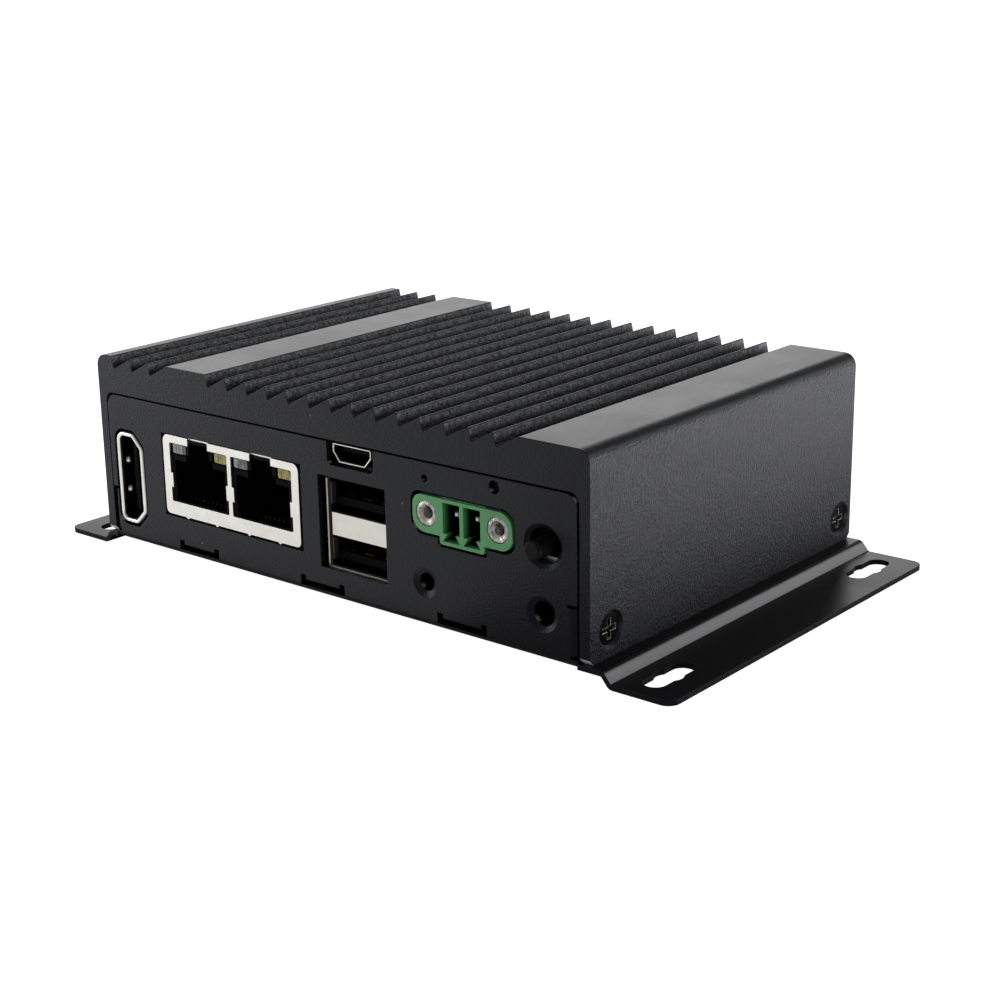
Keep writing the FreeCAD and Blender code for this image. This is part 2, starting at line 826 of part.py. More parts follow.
def lan_shell():
    """Thin plated shell: closed front plate with two port openings, open at the rear."""
    x0, x1, z0, z1 = lan_box()
    s = lan_sheet
    body = prism(lan_outline(0.0), "xz", -lan_out, lan_out + lan_depth)
    body = body.cut(prism(lan_outline(lan_sheet), "xz", -lan_out + s, lan_depth + 1.0))
    floor, ceiling, seat = lan_levels()
    tools = []
    extra = []
    for x in lan_ports():
        half = lan_port_width / 2.0
        mouth = rectangle(x - half, x + half, floor, ceiling, 0.3)
        tools.append(prism(mouth, "xz", -lan_out - 1.0, s + 1.0))
        tools.append(box(x - lan_latch_width / 2.0, x + lan_latch_width / 2.0, -lan_out - 1.0,
                         -lan_out + 1.5 * s, ceiling - 0.5, z1 + 1.0))
        for side in (-1, 1):
            edge = x + side * half
            tip = edge - side * lan_tab_width
            extra.append(box(min(edge, tip), max(edge, tip), -lan_out, -lan_out + s,
                             floor + lan_tab_low, floor + lan_tab_low + lan_tab_height))
        for offset in (-3.2, 3.7):
            extra.append(rod(x + offset, -lan_out, z0 + 0.15, 0.4, s, "y"))
    body = body.cut(Part.makeCompound(tools))
    extra = [item.common(box(x0, x1, -lan_out, -lan_out + s, z0 - 0.3, z1)) for item in extra]
    return fuse(body, extra)


def lan_cavity(x):
    """Plug space of one port, stepped for the latch of the plug."""
    floor, ceiling, seat = lan_levels()
    front = -lan_out + lan_sheet
    deep = lan_plug_depth
    half = lan_plug_width / 2.0
    high = seat + lan_plug_height
    tools = [box(x - half, x + half, front - 1.0, deep, seat, high)]
    tools.append(box(x - 3.1, x + 3.1, front - 1.0, deep - 4.0, high - 0.5, high + 1.2))
    tools.append(box(x - lan_latch_width / 2.0, x + lan_latch_width / 2.0, front - 1.0,
                     deep - 6.0, high, board_under - lan_sheet - 0.5))
    return tools


def lan_led_box(x, side):
    floor, ceiling, seat = lan_levels()
    inner = x + side * (lan_port_width / 2.0 - lan_led_width)
    outer = x + side * (lan_port_width / 2.0)
    front = -lan_out + lan_sheet
    return box(min(inner, outer), max(inner, outer), front, front + lan_led_depth,
               ceiling - lan_led_height, ceiling)


def lan_housing():
    x0, x1, z0, z1 = lan_box()
    s = lan_sheet
    front = -lan_out + s
    outline = lan_outline(lan_sheet)
    body = prism(outline, "xz", front, lan_depth - front)
    tools = []
    for x in lan_ports():
        tools.extend(lan_cavity(x))
        tools.append(lan_led_box(x, -1))
        tools.append(lan_led_box(x, 1))
    return body.cut(Part.makeCompound(tools))


def lan_contacts():
    """Eight spring contacts in each port, lying on the floor of the plug space."""
    floor, ceiling, seat = lan_levels()
    size = lan_contact
    front = lan_contact_front
    bend = front + lan_contact_bend
    back = lan_plug_depth
    rise = lan_contact_rise
    wires = []
    for x in lan_ports():
        for k in range(8):
            cx = x + (k - 3.5) * lan_contact_pitch
            tall = [(front, seat, 0.0), (back, seat, 0.0), (back, seat + rise, 0.0),
                    (back - size, seat + rise, 0.0), (bend, seat + size, 0.0),
                    (front, seat + size, 0.0)]
            inner = [(bend + 1.4 * lan_contact_bend, seat + size, 0.0),
                     (back - size, seat + size, 0.0),
                     (back - size, seat + rise - lan_contact_stem, 0.0)]
            wire = prism(tall, "yz", cx - size / 2.0, size)
            wires.append(wire.cut(prism(inner, "yz", cx - size, 2.0 * size)))
    return wires


# ---------------------------------------------------------------- display socket
def hdmi_shell():
    """Upright shell with a broad flared rim and two spring bumps on its flat side."""
    back = -hdmi_out + hdmi_rim_thick
    rim = prism(hdmi_outline(hdmi_lip), "xz", -hdmi_out, hdmi_rim_thick)
    tube = prism(hdmi_outline(0.0), "xz", back, hdmi_depth - back)
    body = rim.fuse(tube)
    body = body.cut(prism(hdmi_outline(-hdmi_sheet), "xz", -hdmi_out - 1.0, hdmi_depth + 3.0))
    flat = hdmi_centre - hdmi_tube_width / 2.0 + hdmi_sheet
    bumps = []
    for side in (-1, 1):
        ball = Part.makeSphere(0.6, V(flat - 0.1, back + 1.4, hdmi_middle + side * 2.5))
        bumps.append(ball.common(box(flat - 0.2, flat + 2.0, 0.0, 6.0, 0.0, body_height)))
    return fuse(body, bumps)


def hdmi_block():
    """Insulator: tongue, base inside the tube and the saddle that meets the board."""
    inner_w = hdmi_tube_width - 2.0 * hdmi_sheet
    inner_h = hdmi_tube_height - 2.0 * hdmi_sheet
    base = prism(hdmi_outline(-hdmi_sheet), "xz", hdmi_depth - 3.5, 3.5)
    half = hdmi_tongue_thick / 2.0
    tall = hdmi_tongue_height / 2.0
    tongue = box(hdmi_centre - half, hdmi_centre + half, 1.2, hdmi_depth - 3.0,
                 hdmi_middle - tall, hdmi_middle + tall)
    foot = box(hdmi_centre - inner_w / 2.0 + 0.5, hdmi_centre + inner_w / 2.0 - 0.5,
               hdmi_depth, hdmi_depth + hdmi_foot, hdmi_middle - inner_h / 2.0, board_under)
    link = box(hdmi_centre - inner_w / 2.0 + 0.5, hdmi_centre + inner_w / 2.0 - 1.6,
               hdmi_depth - 1.0, hdmi_depth + 0.5, hdmi_middle - inner_h / 2.0 + 1.0,
               hdmi_middle + inner_h / 2.0 - 1.0)
    return fuse(base, [tongue, foot, link])


def hdmi_contacts():
    strips = []
    size = hdmi_contact
    front = 1.8
    for k in range(10):
        z = hdmi_middle + (k - 4.5) * 1.0
        strips.append(box(hdmi_centre + hdmi_tongue_thick / 2.0,
                          hdmi_centre + hdmi_tongue_thick / 2.0 + size,
                          front, hdmi_depth - 3.5, z - size, z + size))
    for k in range(9):
        z = hdmi_middle + (k - 4.0) * 1.0
        strips.append(box(hdmi_centre - hdmi_tongue_thick / 2.0 - size,
                          hdmi_centre - hdmi_tongue_thick / 2.0,
                          front, hdmi_depth - 3.5, z - size, z + size))
    return strips


# ---------------------------------------------------------------- USB socket
def usb_levels():
    """Front rim, underside and top of the shell, then floor and ceiling of the two ports."""
    front = sheet + usb_back
    high = board_under - usb_drop
    low = high - usb_height
    lower = (low + usb_sheet, low + usb_bridge_low)
    upper = (low + usb_bridge_low + usb_bridge_height, high - usb_sheet)
    return front, low, high, lower, upper


def usb_shell():
    front, low, high, lower, upper = usb_levels()
    s = usb_sheet
    x0 = usb_left
    x1 = usb_left + usb_width
    body = box(x0, x1, front, usb_depth, low, high)
    body = body.cut(box(x0 + s, x1 - s, front - 1.0, usb_depth + 1.0, low + s, high - s))
    bridge = box(x0 + s + usb_bridge_gap, x1 - s, front, front + 2.0 * s, lower[1], upper[0])
    start = front + usb_finger_start
    rise = start + usb_finger_rise
    fall = rise + usb_finger_flat
    fingers = []
    for z0, z1 in (lower, upper):
        middle = (z0 + z1) / 2.0
        finger = prism([(x0 + s, start, 0.0), (x0 + s + usb_finger_in, rise, 0.15),
                        (x0 + s + usb_finger_in, fall, 0.15), (x0 + s, fall + usb_finger_fall, 0.0)],
                       "xy", middle - usb_finger_height / 2.0, usb_finger_height)
        fingers.append(finger)
        fingers.append(finger.mirror(V((x0 + x1) / 2.0, 0, 0), V(1, 0, 0)))
    return fuse(body, [bridge] + fingers)


def usb_housing():
    """Insulator with one tongue low in each port and pegs up to the board."""
    front, low, high, lower, upper = usb_levels()
    s = usb_sheet
    x0 = usb_left + s
    x1 = usb_left + usb_width - s
    body = box(x0, x1, usb_block_start, usb_depth, low + s, high - s)
    between = box(x0, x1, front + 2.0 * s, usb_block_start + 0.5, lower[1], upper[0])
    pieces = [between]
    for z0, z1 in (lower, upper):
        pieces.append(box(x0 + usb_tongue_side, x1 - usb_tongue_side, front + usb_tongue_back,
                          usb_block_start + 0.5, z0 + usb_tongue_rise,
                          z0 + usb_tongue_rise + usb_tongue_thick))
    pieces.append(box(x0, x1, usb_depth, usb_depth + 1.5, low + s, board_under))
    pieces.append(box(x0, x1, usb_depth - 0.5, usb_depth + 0.5, low + s, high - s))
    return fuse(body, pieces)


def usb_contacts():
    front, low, high, lower, upper = usb_levels()
    middle = usb_left + usb_width / 2.0
    half = usb_contact_width / 2.0
    strips = []
    for z0, z1 in (lower, upper):
        top = z0 + usb_tongue_rise + usb_tongue_thick
        for offset in (-usb_contact_outer, -usb_contact_inner, usb_contact_inner, usb_contact_outer):
            strips.append(box(middle + offset - half, middle + offset + half,
                              front + usb_tongue_back + usb_contact_back, usb_block_start,
                              top, top + usb_contact_thick))
    return strips


# ---------------------------------------------------------------- micro USB socket
def micro_outline(inset):
    x0 = micro_centre - micro_width / 2.0 + inset
    x1 = micro_centre + micro_width / 2.0 - inset
    z0 = board_top + inset
    z1 = board_top + micro_height - inset
    c = micro_chamfer - 0.4 * inset
    mid = z0 + (z1 - z0) * 0.55
    return [(x0 + c, z0, 0.25), (x1 - c, z0, 0.25), (x1, mid, 0.25), (x1, z1, 0.3), (x0, z1, 0.3),
            (x0, mid, 0.25)]


def micro_cut(top):
    """Opening of the front panel round the socket, open towards the roof."""
    x0 = micro_centre - micro_width / 2.0 - micro_cut_side
    x1 = micro_centre + micro_width / 2.0 + micro_cut_side
    low = board_top - micro_cut_low
    return [(x0, low, 0.8), (x1, low, 0.8), (x1, top + 1.0, 0.0), (x0, top + 1.0, 0.0)]


def micro_usb_shell():
    body = prism(micro_outline(0.0), "xz", micro_back, micro_depth - micro_back)
    return body.cut(prism(micro_outline(micro_sheet), "xz", micro_back - 1.0, micro_depth + 3.0))


def micro_usb_tongue():
    inner = prism(micro_outline(micro_sheet), "xz", micro_depth - 1.4, 1.4)
    z = board_top + micro_height * 0.56
    plate = box(micro_centre - 2.6, micro_centre + 2.6, micro_back + 1.0, micro_depth - 1.0, z, z + 0.6)
    return fuse(inner, [plate])


def micro_usb_contacts():
    z = board_top + micro_height * 0.56
    strips = []
    for k in range(5):
        x = micro_centre + (k - 2) * 0.65
        strips.append(box(x - 0.15, x + 0.15, micro_back + 1.4, micro_depth - 1.4, z - 0.15, z))
    return strips


# ---------------------------------------------------------------- terminal header
def term_axis_z():
    return board_under - term_axis


def term_cavity(x):
    core = board_under - term_core_low
    floor = core + term_cavity_low
    top = floor + term_cavity_height
    half = term_cavity_width / 2.0
    back = term_depth - 1.6
    front = -term_out - 1.0
    space = box(x - half, x + half, front, back, floor, top)
    tail = prism([(x - half, core + 0.5, 0.0), (x + half, core + 0.5, 0.0),
                  (x + half * 0.45, floor + 0.1, 0.0), (x - half * 0.45, floor + 0.1, 0.0)],
                 "xz", front, back - front)
    return [space, tail]


def term_cavity_places():
    return [term_centre - term_pitch / 2.0, term_centre + term_pitch / 2.0]


def term_insert_places():
    return [term_centre - term_insert_spacing / 2.0, term_centre + term_insert_spacing / 2.0]


def terminal_header():
    plate = prism(term_outline(0.0), "xz", -term_out, term_out + term_plate_depth - 0.4)
    c0 = term_centre - term_core_width / 2.0
    c1 = term_centre + term_core_width / 2.0
    core = box(c0, c1, 0.3, term_depth, board_under - term_core_low, board_under)
    lugs = []
    tools = []
    insert_back = -term_out + term_insert_length
    for x in term_insert_places():
        lugs.append(box(x - term_insert / 2.0 - 0.4, x + term_insert / 2.0 + 0.4, 0.0,
                        insert_back + 0.8, board_under - term_low, board_under))
        tools.append(rod(x, -term_out - 1.0, term_axis_z(), term_insert / 2.0,
                         term_insert_length + 1.0, "y"))
    inside = prism(term_outline(-0.1), "xz", 0.0, term_depth)
    lugs = [lug.common(inside) for lug in lugs]
    body = fuse(plate, [core] + lugs)
    for x in term_cavity_places():
        tools.extend(term_cavity(x))
        half = term_pin / 2.0
        z = board_under - term_pin_axis
        tools.append(box(x - half, x + half, term_depth - 2.0, term_depth + 1.0, z - half, z + half))
    return body.cut(Part.makeCompound(tools))


def terminal_pin(x):
    half = term_pin / 2.0
    z = board_under - term_pin_axis
    lying = box(x - half, x + half, 1.0, term_depth + term_pin, z - half, z + half)
    standing = box(x - half, x + half, term_depth, term_depth + term_pin, z - half, board_under)
    tip = [edge for edge in lying.Edges if edge.BoundBox.YMax < 1.0 + 0.01]
    return lying.makeChamfer(term_pin_tip, tip).fuse(standing).removeSplitter()


def terminal_insert(x):
    body = rod(x, -term_out, term_axis_z(), term_insert / 2.0, term_insert_length, "y")
    bore = rod(x, -term_out - 1.0, term_axis_z(), term_insert_thread / 2.0,
               term_insert_length + 0.2, "y")
    lead = cone(x, -term_out, term_axis_z(), term_insert_thread / 2.0 + term_insert_lead,
                term_insert_thread / 2.0, term_insert_lead, "y")
    return body.cut(bore).cut(lead)


# ---------------------------------------------------------------- power switch
def switch_front():
    return sheet + dimple_depth + switch_back


def switch_levels():
    front = switch_front() + frame_sheet
    seat = front + 0.5
    return front, seat, seat + button_flange_thick + button_travel + contact_plate


def power_switch_body():
    """Case with the stepped bore that holds the button captive."""
    front, seat, floor = switch_levels()
    half = switch_width / 2.0
    z = board_under - switch_axis
    low = board_under - switch_low
    body = box(switch_x - half, switch_x + half, front, front + switch_depth, low, board_under)
    stem = rod(switch_x, front - 1.0, z, button_width / 2.0 + button_play, 2.0, "y")
    room = rod(switch_x, seat, z, button_flange / 2.0 + button_play, floor - seat, "y")
    return body.cut(stem).cut(room)


def power_switch_frame():
    """Plated steel bracket: two side arms up to the board, joined low across the front."""
    half = switch_width / 2.0
    s = frame_sheet
    front = switch_front()
    low = board_under - switch_low
    z = board_under - switch_axis
    depth = s + switch_depth * 0.6
    arms = []
    for side in (-1, 1):
        inner = switch_x + side * half
        outer = inner + side * s
        arms.append(box(min(inner, outer), max(inner, outer), front, front + depth, low, board_under))
    cross = box(switch_x - half, switch_x + half, front, front + s, low, z - frame_bar_below)
    return fuse(cross, arms)


def power_button():
    front, seat, floor = switch_levels()
    z = board_under - switch_axis
    stem = rod(switch_x, -button_out, z, button_width / 2.0, seat + button_out + 0.1, "y")
    tip = [edge for edge in stem.Edges if edge.BoundBox.YMax < -button_out + 0.01]
    stem = stem.makeFillet(0.3, tip[:1])
    foot = rod(switch_x, seat, z, button_flange / 2.0, button_flange_thick, "y")
    return stem.fuse(foot).removeSplitter()


def power_switch_contact():
    front, seat, floor = switch_levels()
    z = board_under - switch_axis
    return rod(switch_x, floor - contact_plate, z, button_flange / 2.0 + button_play, contact_plate, "y")


# ---------------------------------------------------------------- reset switch and light
def reset_levels():
    front = board_front + 0.3
    seat = front + 0.5
    return front, seat, seat + reset_flange_thick + reset_travel


def reset_switch_body():
    front, seat, floor = reset_levels()
    half = reset_width / 2.0
    z = board_top + reset_axis
    body = box(reset_x - half, reset_x + half, front, front + reset_depth, board_top,
               board_top + reset_high)
    stem = rod(reset_x, front - 1.0, z, reset_plunger / 2.0 + button_play / 2.0, 2.0, "y")
    reach = reset_plunger_flange / 2.0 + button_play / 2.0
    room = box(reset_x - reach - 0.4, reset_x + reach + 0.4, seat, floor,
               board_top + 0.05, z + reach)
    return body.cut(stem).cut(room)


def reset_plunger_piece():
    front, seat, floor = reset_levels()
    z = board_top + reset_axis
    tip = sheet + 0.15
    stem = rod(reset_x, tip, z, reset_plunger / 2.0, seat - tip + 0.1, "y")
    flange = box(reset_x - reset_plunger_flange / 2.0, reset_x + reset_plunger_flange / 2.0,
                 seat, seat + reset_flange_thick, z - 0.5, z + 0.5)
    return stem.fuse(flange).removeSplitter()


def status_light():
    z = board_top + light_axis
    half = light_width / 2.0
    front = board_front + 0.4
    body = box(light_x - half, light_x + half, front, front + light_depth, board_top, z + 1.2)
    start = sheet + light_back
    lens = rod(light_x, start, z, light_lens / 2.0, front - start + 0.2, "y")
    tip = [edge for edge in lens.Edges if edge.BoundBox.YMax < start + 0.01]
    lens = lens.makeFillet(0.35, tip[:1])
    return body.fuse(lens).removeSplitter()


# ---------------------------------------------------------------- write every node
def main():
    floor, ceiling, seat = lan_levels()
    roof_low = roof_z - block_thick
    save("heatsink_cover", [heatsink_cover()])
    save("chassis_tray", [chassis_tray()])
    save("cover_screws", at_ends(side_screw))
    save("heat_block", [heat_block()])
    save("heat_block_screws", [block_screw(x, y) for x, y in block_screw_places()])
    save("thermal_pad", [slab(processor_x, processor_y, pad_x, pad_y, roof_low - pad_thick, pad_thick)])
    save("processor_die", [slab(processor_x, processor_y, die_x, die_y,
                                board_top + substrate_thick, die_thick)])
    save("processor_base", [slab(processor_x, processor_y, substrate_x, substrate_y,
                                 board_top, substrate_thick)])
    save("mainboard", [mainboard()])
    save("board_standoffs", [standoff(x, y) for x, y in standoff_places()])
    save("board_screws", [board_screw(x, y) for x, y in standoff_places()])
    save("memory_chips", memory_chips())
    save("storage_chip", [chip(processor_x + substrate_x / 2.0 + storage_x, processor_y,
                               storage_x, storage_y, board_top, storage_thick)])
    save("network_chips", [chip(x, lan_depth + network_behind, network_side, network_side,
                                board_top, network_thick) for x in lan_ports()])
    rear = body_depth - inductor_from_rear
    save("power_inductors", [inductor(processor_x + k * (inductor_side + inductor_gap), rear)
                             for k in (-1, 0, 1)])
    step = capacitor_width + capacitor_gap
    behind = standoff_front + standoff_reach + standoff_clear + capacitor_foot / 2.0
    save("power_capacitors", [capacitor(term_centre + k * step, behind) for k in (-1, 0, 1)])
    save("battery_holder", [battery_holder()])
    save("clock_cell", [clock_cell()])
    save("lan_shell", [lan_shell()])
    save("lan_housing", [lan_housing()])
    save("lan_contacts", lan_contacts())
    save("lan_lights_clear", [lan_led_box(x, -1) for x in lan_ports()])
    save("lan_lights_yellow", [lan_led_box(x, 1) for x in lan_ports()])
    save("hdmi_shell", [hdmi_shell()])
    save("hdmi_insulator", [hdmi_block()])
    save("hdmi_contacts", hdmi_contacts())
    save("usb_shell", [usb_shell()])
    save("usb_housing", [usb_housing()])
    save("usb_contacts", usb_contacts())
    save("micro_usb_shell", [micro_usb_shell()])
    save("micro_usb_tongue", [micro_usb_tongue()])
    save("micro_usb_contacts", micro_usb_contacts())
    save("terminal_header", [terminal_header()])
    save("terminal_pins", [terminal_pin(x) for x in term_cavity_places()])
    save("terminal_inserts", [terminal_insert(x) for x in term_insert_places()])
    save("power_switch_body", [power_switch_body()])
    save("power_switch_frame", [power_switch_frame()])
    save("power_switch_contact", [power_switch_contact()])
    save("power_button", [power_button()])
    save("reset_switch_body", [reset_switch_body()])
    save("reset_plunger", [reset_plunger_piece()])
    save("status_light", [status_light()])


main()
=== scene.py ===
import math

import bmesh
import bpy
import numpy as np
from bpy.props import FloatProperty, FloatVectorProperty, IntProperty, PointerProperty
from mathutils import Matrix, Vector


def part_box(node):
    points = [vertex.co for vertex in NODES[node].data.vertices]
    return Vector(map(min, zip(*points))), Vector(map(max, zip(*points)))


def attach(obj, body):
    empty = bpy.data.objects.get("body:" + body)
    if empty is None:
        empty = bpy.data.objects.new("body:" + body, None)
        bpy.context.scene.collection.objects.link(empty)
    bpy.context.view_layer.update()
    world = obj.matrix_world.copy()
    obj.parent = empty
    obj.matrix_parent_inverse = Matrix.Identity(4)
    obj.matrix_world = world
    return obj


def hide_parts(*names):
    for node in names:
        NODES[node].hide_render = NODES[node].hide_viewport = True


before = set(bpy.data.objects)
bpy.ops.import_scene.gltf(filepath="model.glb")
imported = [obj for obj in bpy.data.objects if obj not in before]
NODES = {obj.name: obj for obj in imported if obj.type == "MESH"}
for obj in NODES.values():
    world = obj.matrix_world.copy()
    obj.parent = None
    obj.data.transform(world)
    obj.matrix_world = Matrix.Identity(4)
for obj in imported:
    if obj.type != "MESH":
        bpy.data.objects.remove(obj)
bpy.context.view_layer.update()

bl_info = {
    "name": "Fanless Computer Looks",
    "version": (1, 0, 0),
    "blender": (4, 5, 0),
    "location": "View3D > Sidebar > Fanless Computer",
    "description": "Finishes, small parts, light and camera of a finned fanless computer",
    "category": "Object",
}

MM = 0.001
FULL_TURN = 2.0 * math.pi
BACK = (0.0, 1.0, 0.0)
UP = (0.0, 0.0, 1.0)
DIAGONAL = math.sqrt(0.5)  # both parts of a direction at 45 degrees
STEP_X, STEP_Z = 0.776, 0.631  # normal of the step above the right flange
FIN_HEIGHT = 2.1  # millimetres, from a fin's root to its tip
SIDE_RAIL = 2.2  # millimetres, from the cover's side to its outermost fin
PEAK_FACTOR, PEAK_LIFT = 2.0, 0.006  # how the grain's peaks turn lighter than the coat
EDGE_METAL = (0.16, 0.165, 0.17, 1.0)
BARE_METAL_GLINT = (0.85, 0.86, 0.88, 1.0)
COAT_SHEEN = (0.86, 0.88, 1.0, 1.0)
FIN_TIP_LIGHT = (0.96, 0.97, 1.06)
STAIN = (0.78, 0.75, 0.68)  # what a stain leaves of a plated colour


def place(node):
    """Lowest and highest corner of a node at rest, as two arrays in metres."""
    low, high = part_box(node)
    return np.array(low), np.array(high)


# ---------------------------------------------------------------- surfaces
def grid_faces(rows, columns, wrap_rows=False, wrap_columns=True):
    """Quads of a grid whose point (i, j) has index i * columns + j.

    A wrapped direction joins its last line to its first."""
    i = np.arange(rows if wrap_rows else rows - 1)[:, None]
    j = np.arange(columns if wrap_columns else columns - 1)[None, :]
    below = (i + 1) % rows
    beside = (j + 1) % columns
    quads = [i * columns + j, i * columns + beside, below * columns + beside, below * columns + j]
    return np.stack([q * np.ones_like(i * j) for q in quads], axis=-1).reshape(-1, 4)


def around(axis):
    """Two directions across an axis, and the axis itself, as rows."""
    frames = {"x": [[0, 1, 0], [0, 0, 1], [1, 0, 0]], "y": [[0, 0, 1], [1, 0, 0], [0, 1, 0]],
              "z": [[1, 0, 0], [0, 1, 0], [0, 0, 1]]}
    return np.array(frames[axis], dtype=float)


def turned(centre, axis, profile, steps, swell=None, press=None):
    """Surface of revolution: radius and height of each profile point are carried round the axis.

    point = centre + r cos(t) a + r sin(t) b + h axis, where swell(t, r, h) is added to r and
    press(t, r, h) to h."""
    a, b, c = around(axis)
    profile = np.asarray(profile, dtype=float)
    t = np.linspace(0.0, FULL_TURN, steps, endpoint=False)[None, :]
    r = profile[:, 0][:, None] + 0.0 * t
    h = profile[:, 1][:, None] + 0.0 * t
    wide = r + (swell(t, r, h) if swell else 0.0)
    high = h + (press(t, r, h) if press else 0.0)
    points = (np.asarray(centre) + (wide * np.cos(t))[..., None] * a
              + (wide * np.sin(t))[..., None] * b + high[..., None] * c)
    closed = profile[0, 0] > 1e-9
    return points.reshape(-1, 3), grid_faces(len(profile), steps, wrap_rows=closed)


def wire(path, width, thick, side=(1.0, 0.0, 0.0), power=4.0, steps=12):
    """Bar carried along a path that lies in the plane across side.

    Its section is a superellipse: w sgn(cos t)|cos t|^(2/p) along side and the same with sin t
    and half the thickness across the path.  The ends shrink to a point over a short cap."""
    path = np.asarray(path, dtype=float)
    side = np.asarray(side, dtype=float)
    along = np.gradient(path, axis=0)
    along /= np.linalg.norm(along, axis=1)[:, None]
    up = np.cross(along, side)
    cap = min(width, thick) * 0.25
    ends = np.array([0.0, 0.7])
    rows = np.concatenate([np.repeat(path[:1], 2, axis=0), path[1:-1], np.repeat(path[-1:], 2, axis=0)])
    ups = np.concatenate([np.repeat(up[:1], 2, axis=0), up[1:-1], np.repeat(up[-1:], 2, axis=0)])
    scale = np.concatenate([ends, np.ones(len(path) - 2), ends[::-1]])
    rows[1] += along[0] * cap * 0.3
    rows[-2] -= along[-1] * cap * 0.3
    t = np.linspace(0.0, FULL_TURN, steps, endpoint=False)
    u = 0.5 * width * np.sign(np.cos(t)) * np.abs(np.cos(t)) ** (2.0 / power)
    v = 0.5 * thick * np.sign(np.sin(t)) * np.abs(np.sin(t)) ** (2.0 / power)
    points = (rows[:, None, :] + scale[:, None, None] * u[None, :, None] * side
              + scale[:, None, None] * v[None, :, None] * ups[:, None, :])
    return points.reshape(-1, 3), grid_faces(len(rows), steps)


def eased(path, rounds=2):
    """Corners of an open path cut at a quarter and three quarters of each run, a few times."""
    path = np.asarray(path, dtype=float)
    for _ in range(rounds):
        near = 0.75 * path[:-1] + 0.25 * path[1:]
        far = 0.25 * path[:-1] + 0.75 * path[1:]
        inner = np.stack([near, far], axis=1).reshape(-1, path.shape[1])
        path = np.concatenate([path[:1], inner[1:-1], path[-1:]])
    return path


def soft_block(low, high, power=8.0, rows=24, columns=48):
    """Block with rounded edges: directions of a sphere scaled so |x|^p + |y|^p + |z|^p = 1."""
    low = np.asarray(low)
    high = np.asarray(high)
    v = np.linspace(0.0, math.pi, rows)[:, None]
    u = np.linspace(0.0, FULL_TURN, columns, endpoint=False)[None, :]
    way = np.stack([np.sin(v) * np.cos(u), np.sin(v) * np.sin(u), np.cos(v) + 0.0 * u], axis=-1)
    size = (np.abs(way) ** power).sum(axis=-1) ** (1.0 / power)
    points = 0.5 * (low + high) + way / size[..., None] * 0.5 * (high - low)
    return points.reshape(-1, 3), grid_faces(rows, columns)


def outline(corners, steps=6):
    """Closed outline of (x, z, radius) corners as points and outward directions.

    Each corner is an arc tangent to its two sides; an offset outline is point + d * direction."""
    corners = np.asarray(corners, dtype=float)
    points = []
    ways = []
    for before, here, after in zip(np.roll(corners, 1, axis=0), corners, np.roll(corners, -1, axis=0)):
        back = (before - here)[:2] / np.linalg.norm((before - here)[:2])
        ahead = (after - here)[:2] / np.linalg.norm((after - here)[:2])
        half = math.acos(float(np.clip(back @ ahead, -1.0, 1.0))) / 2.0
        middle = back + ahead
        middle /= np.linalg.norm(middle)
        centre = here[:2] + middle * here[2] / math.sin(half)
        first = here[:2] + back * here[2] / math.tan(half) - centre
        last = here[:2] + ahead * here[2] / math.tan(half) - centre
        share = np.linspace(0.0, 1.0, steps)[:, None]
        arm = first * (1.0 - share) + last * share
        arm /= np.linalg.norm(arm, axis=1)[:, None]
        points.append(centre + arm * here[2])
        ways.append(arm)
    return np.concatenate(points), np.concatenate(ways)


def shell(points, ways, profile):
    """Closed wall round an upright outline in the XZ plane.

    Row k holds the outline moved outwards by profile[k][0], at the depth y = profile[k][1]."""
    profile = np.asarray(profile, dtype=float)
    flat = points[None] + profile[:, 0][:, None, None] * ways[None]
    depth = np.repeat(profile[:, 1][:, None], len(points), axis=1)
    grid = np.stack([flat[..., 0], depth, flat[..., 1]], axis=-1)
    return grid.reshape(-1, 3), grid_faces(len(profile), len(points), wrap_rows=True)


def piece(name, parts, material, body, smooth=35.0):
    """One object from several (points, faces) surfaces; poles are merged and faces point out."""
    points = []
    faces = []
    start = 0
    for some_points, some_faces in parts:
        points.append(some_points)
        faces.append(some_faces + start)
        start += len(some_points)
    mesh = bpy.data.meshes.new(name)
    mesh.from_pydata(np.concatenate(points).tolist(), [], np.concatenate(faces).tolist())
    work = bmesh.new()
    work.from_mesh(mesh)
    bmesh.ops.remove_doubles(work, verts=work.verts, dist=2e-7)
    bmesh.ops.dissolve_degenerate(work, edges=work.edges, dist=1e-8)
    bmesh.ops.recalc_face_normals(work, faces=work.faces)
    work.to_mesh(mesh)
    work.free()
    mesh.materials.append(material)
    mesh.shade_smooth()
    mesh.set_sharp_from_angle(angle=math.radians(smooth))
    made = bpy.data.objects.new(name, mesh)
    bpy.context.scene.collection.objects.link(made)
    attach(made, body)
    return made


# ---------------------------------------------------------------- shader tools
def feed(tree, node, inputs):
    """Fill inputs with values or sockets; a name is i and a number, or has underscores for spaces."""
    for name, value in inputs.items():
        numbered = name[0] == "i" and name[1:].isdigit()
        socket = node.inputs[int(name[1:]) if numbered else name.replace("_", " ")]
        if isinstance(value, bpy.types.NodeSocket):
            tree.links.new(value, socket)
        else:
            socket.default_value = value
    return node


def add(tree, kind, settings=None, **inputs):
    """New shader node with its settings and its inputs."""
    node = tree.nodes.new(kind)
    for name, value in (settings or {}).items():
        setattr(node, name, value)
    return feed(tree, node, inputs)


def maths(tree, how, a, b=0.0, c=0.0, clamp=False):
    """Result of one arithmetic node."""
    return add(tree, "ShaderNodeMath", {"operation": how, "use_clamp": clamp}, i0=a, i1=b, i2=c).outputs[0]


def product(tree, a, b, clamp=False):
    """One number times another."""
    return maths(tree, "MULTIPLY", a, b, clamp=clamp)


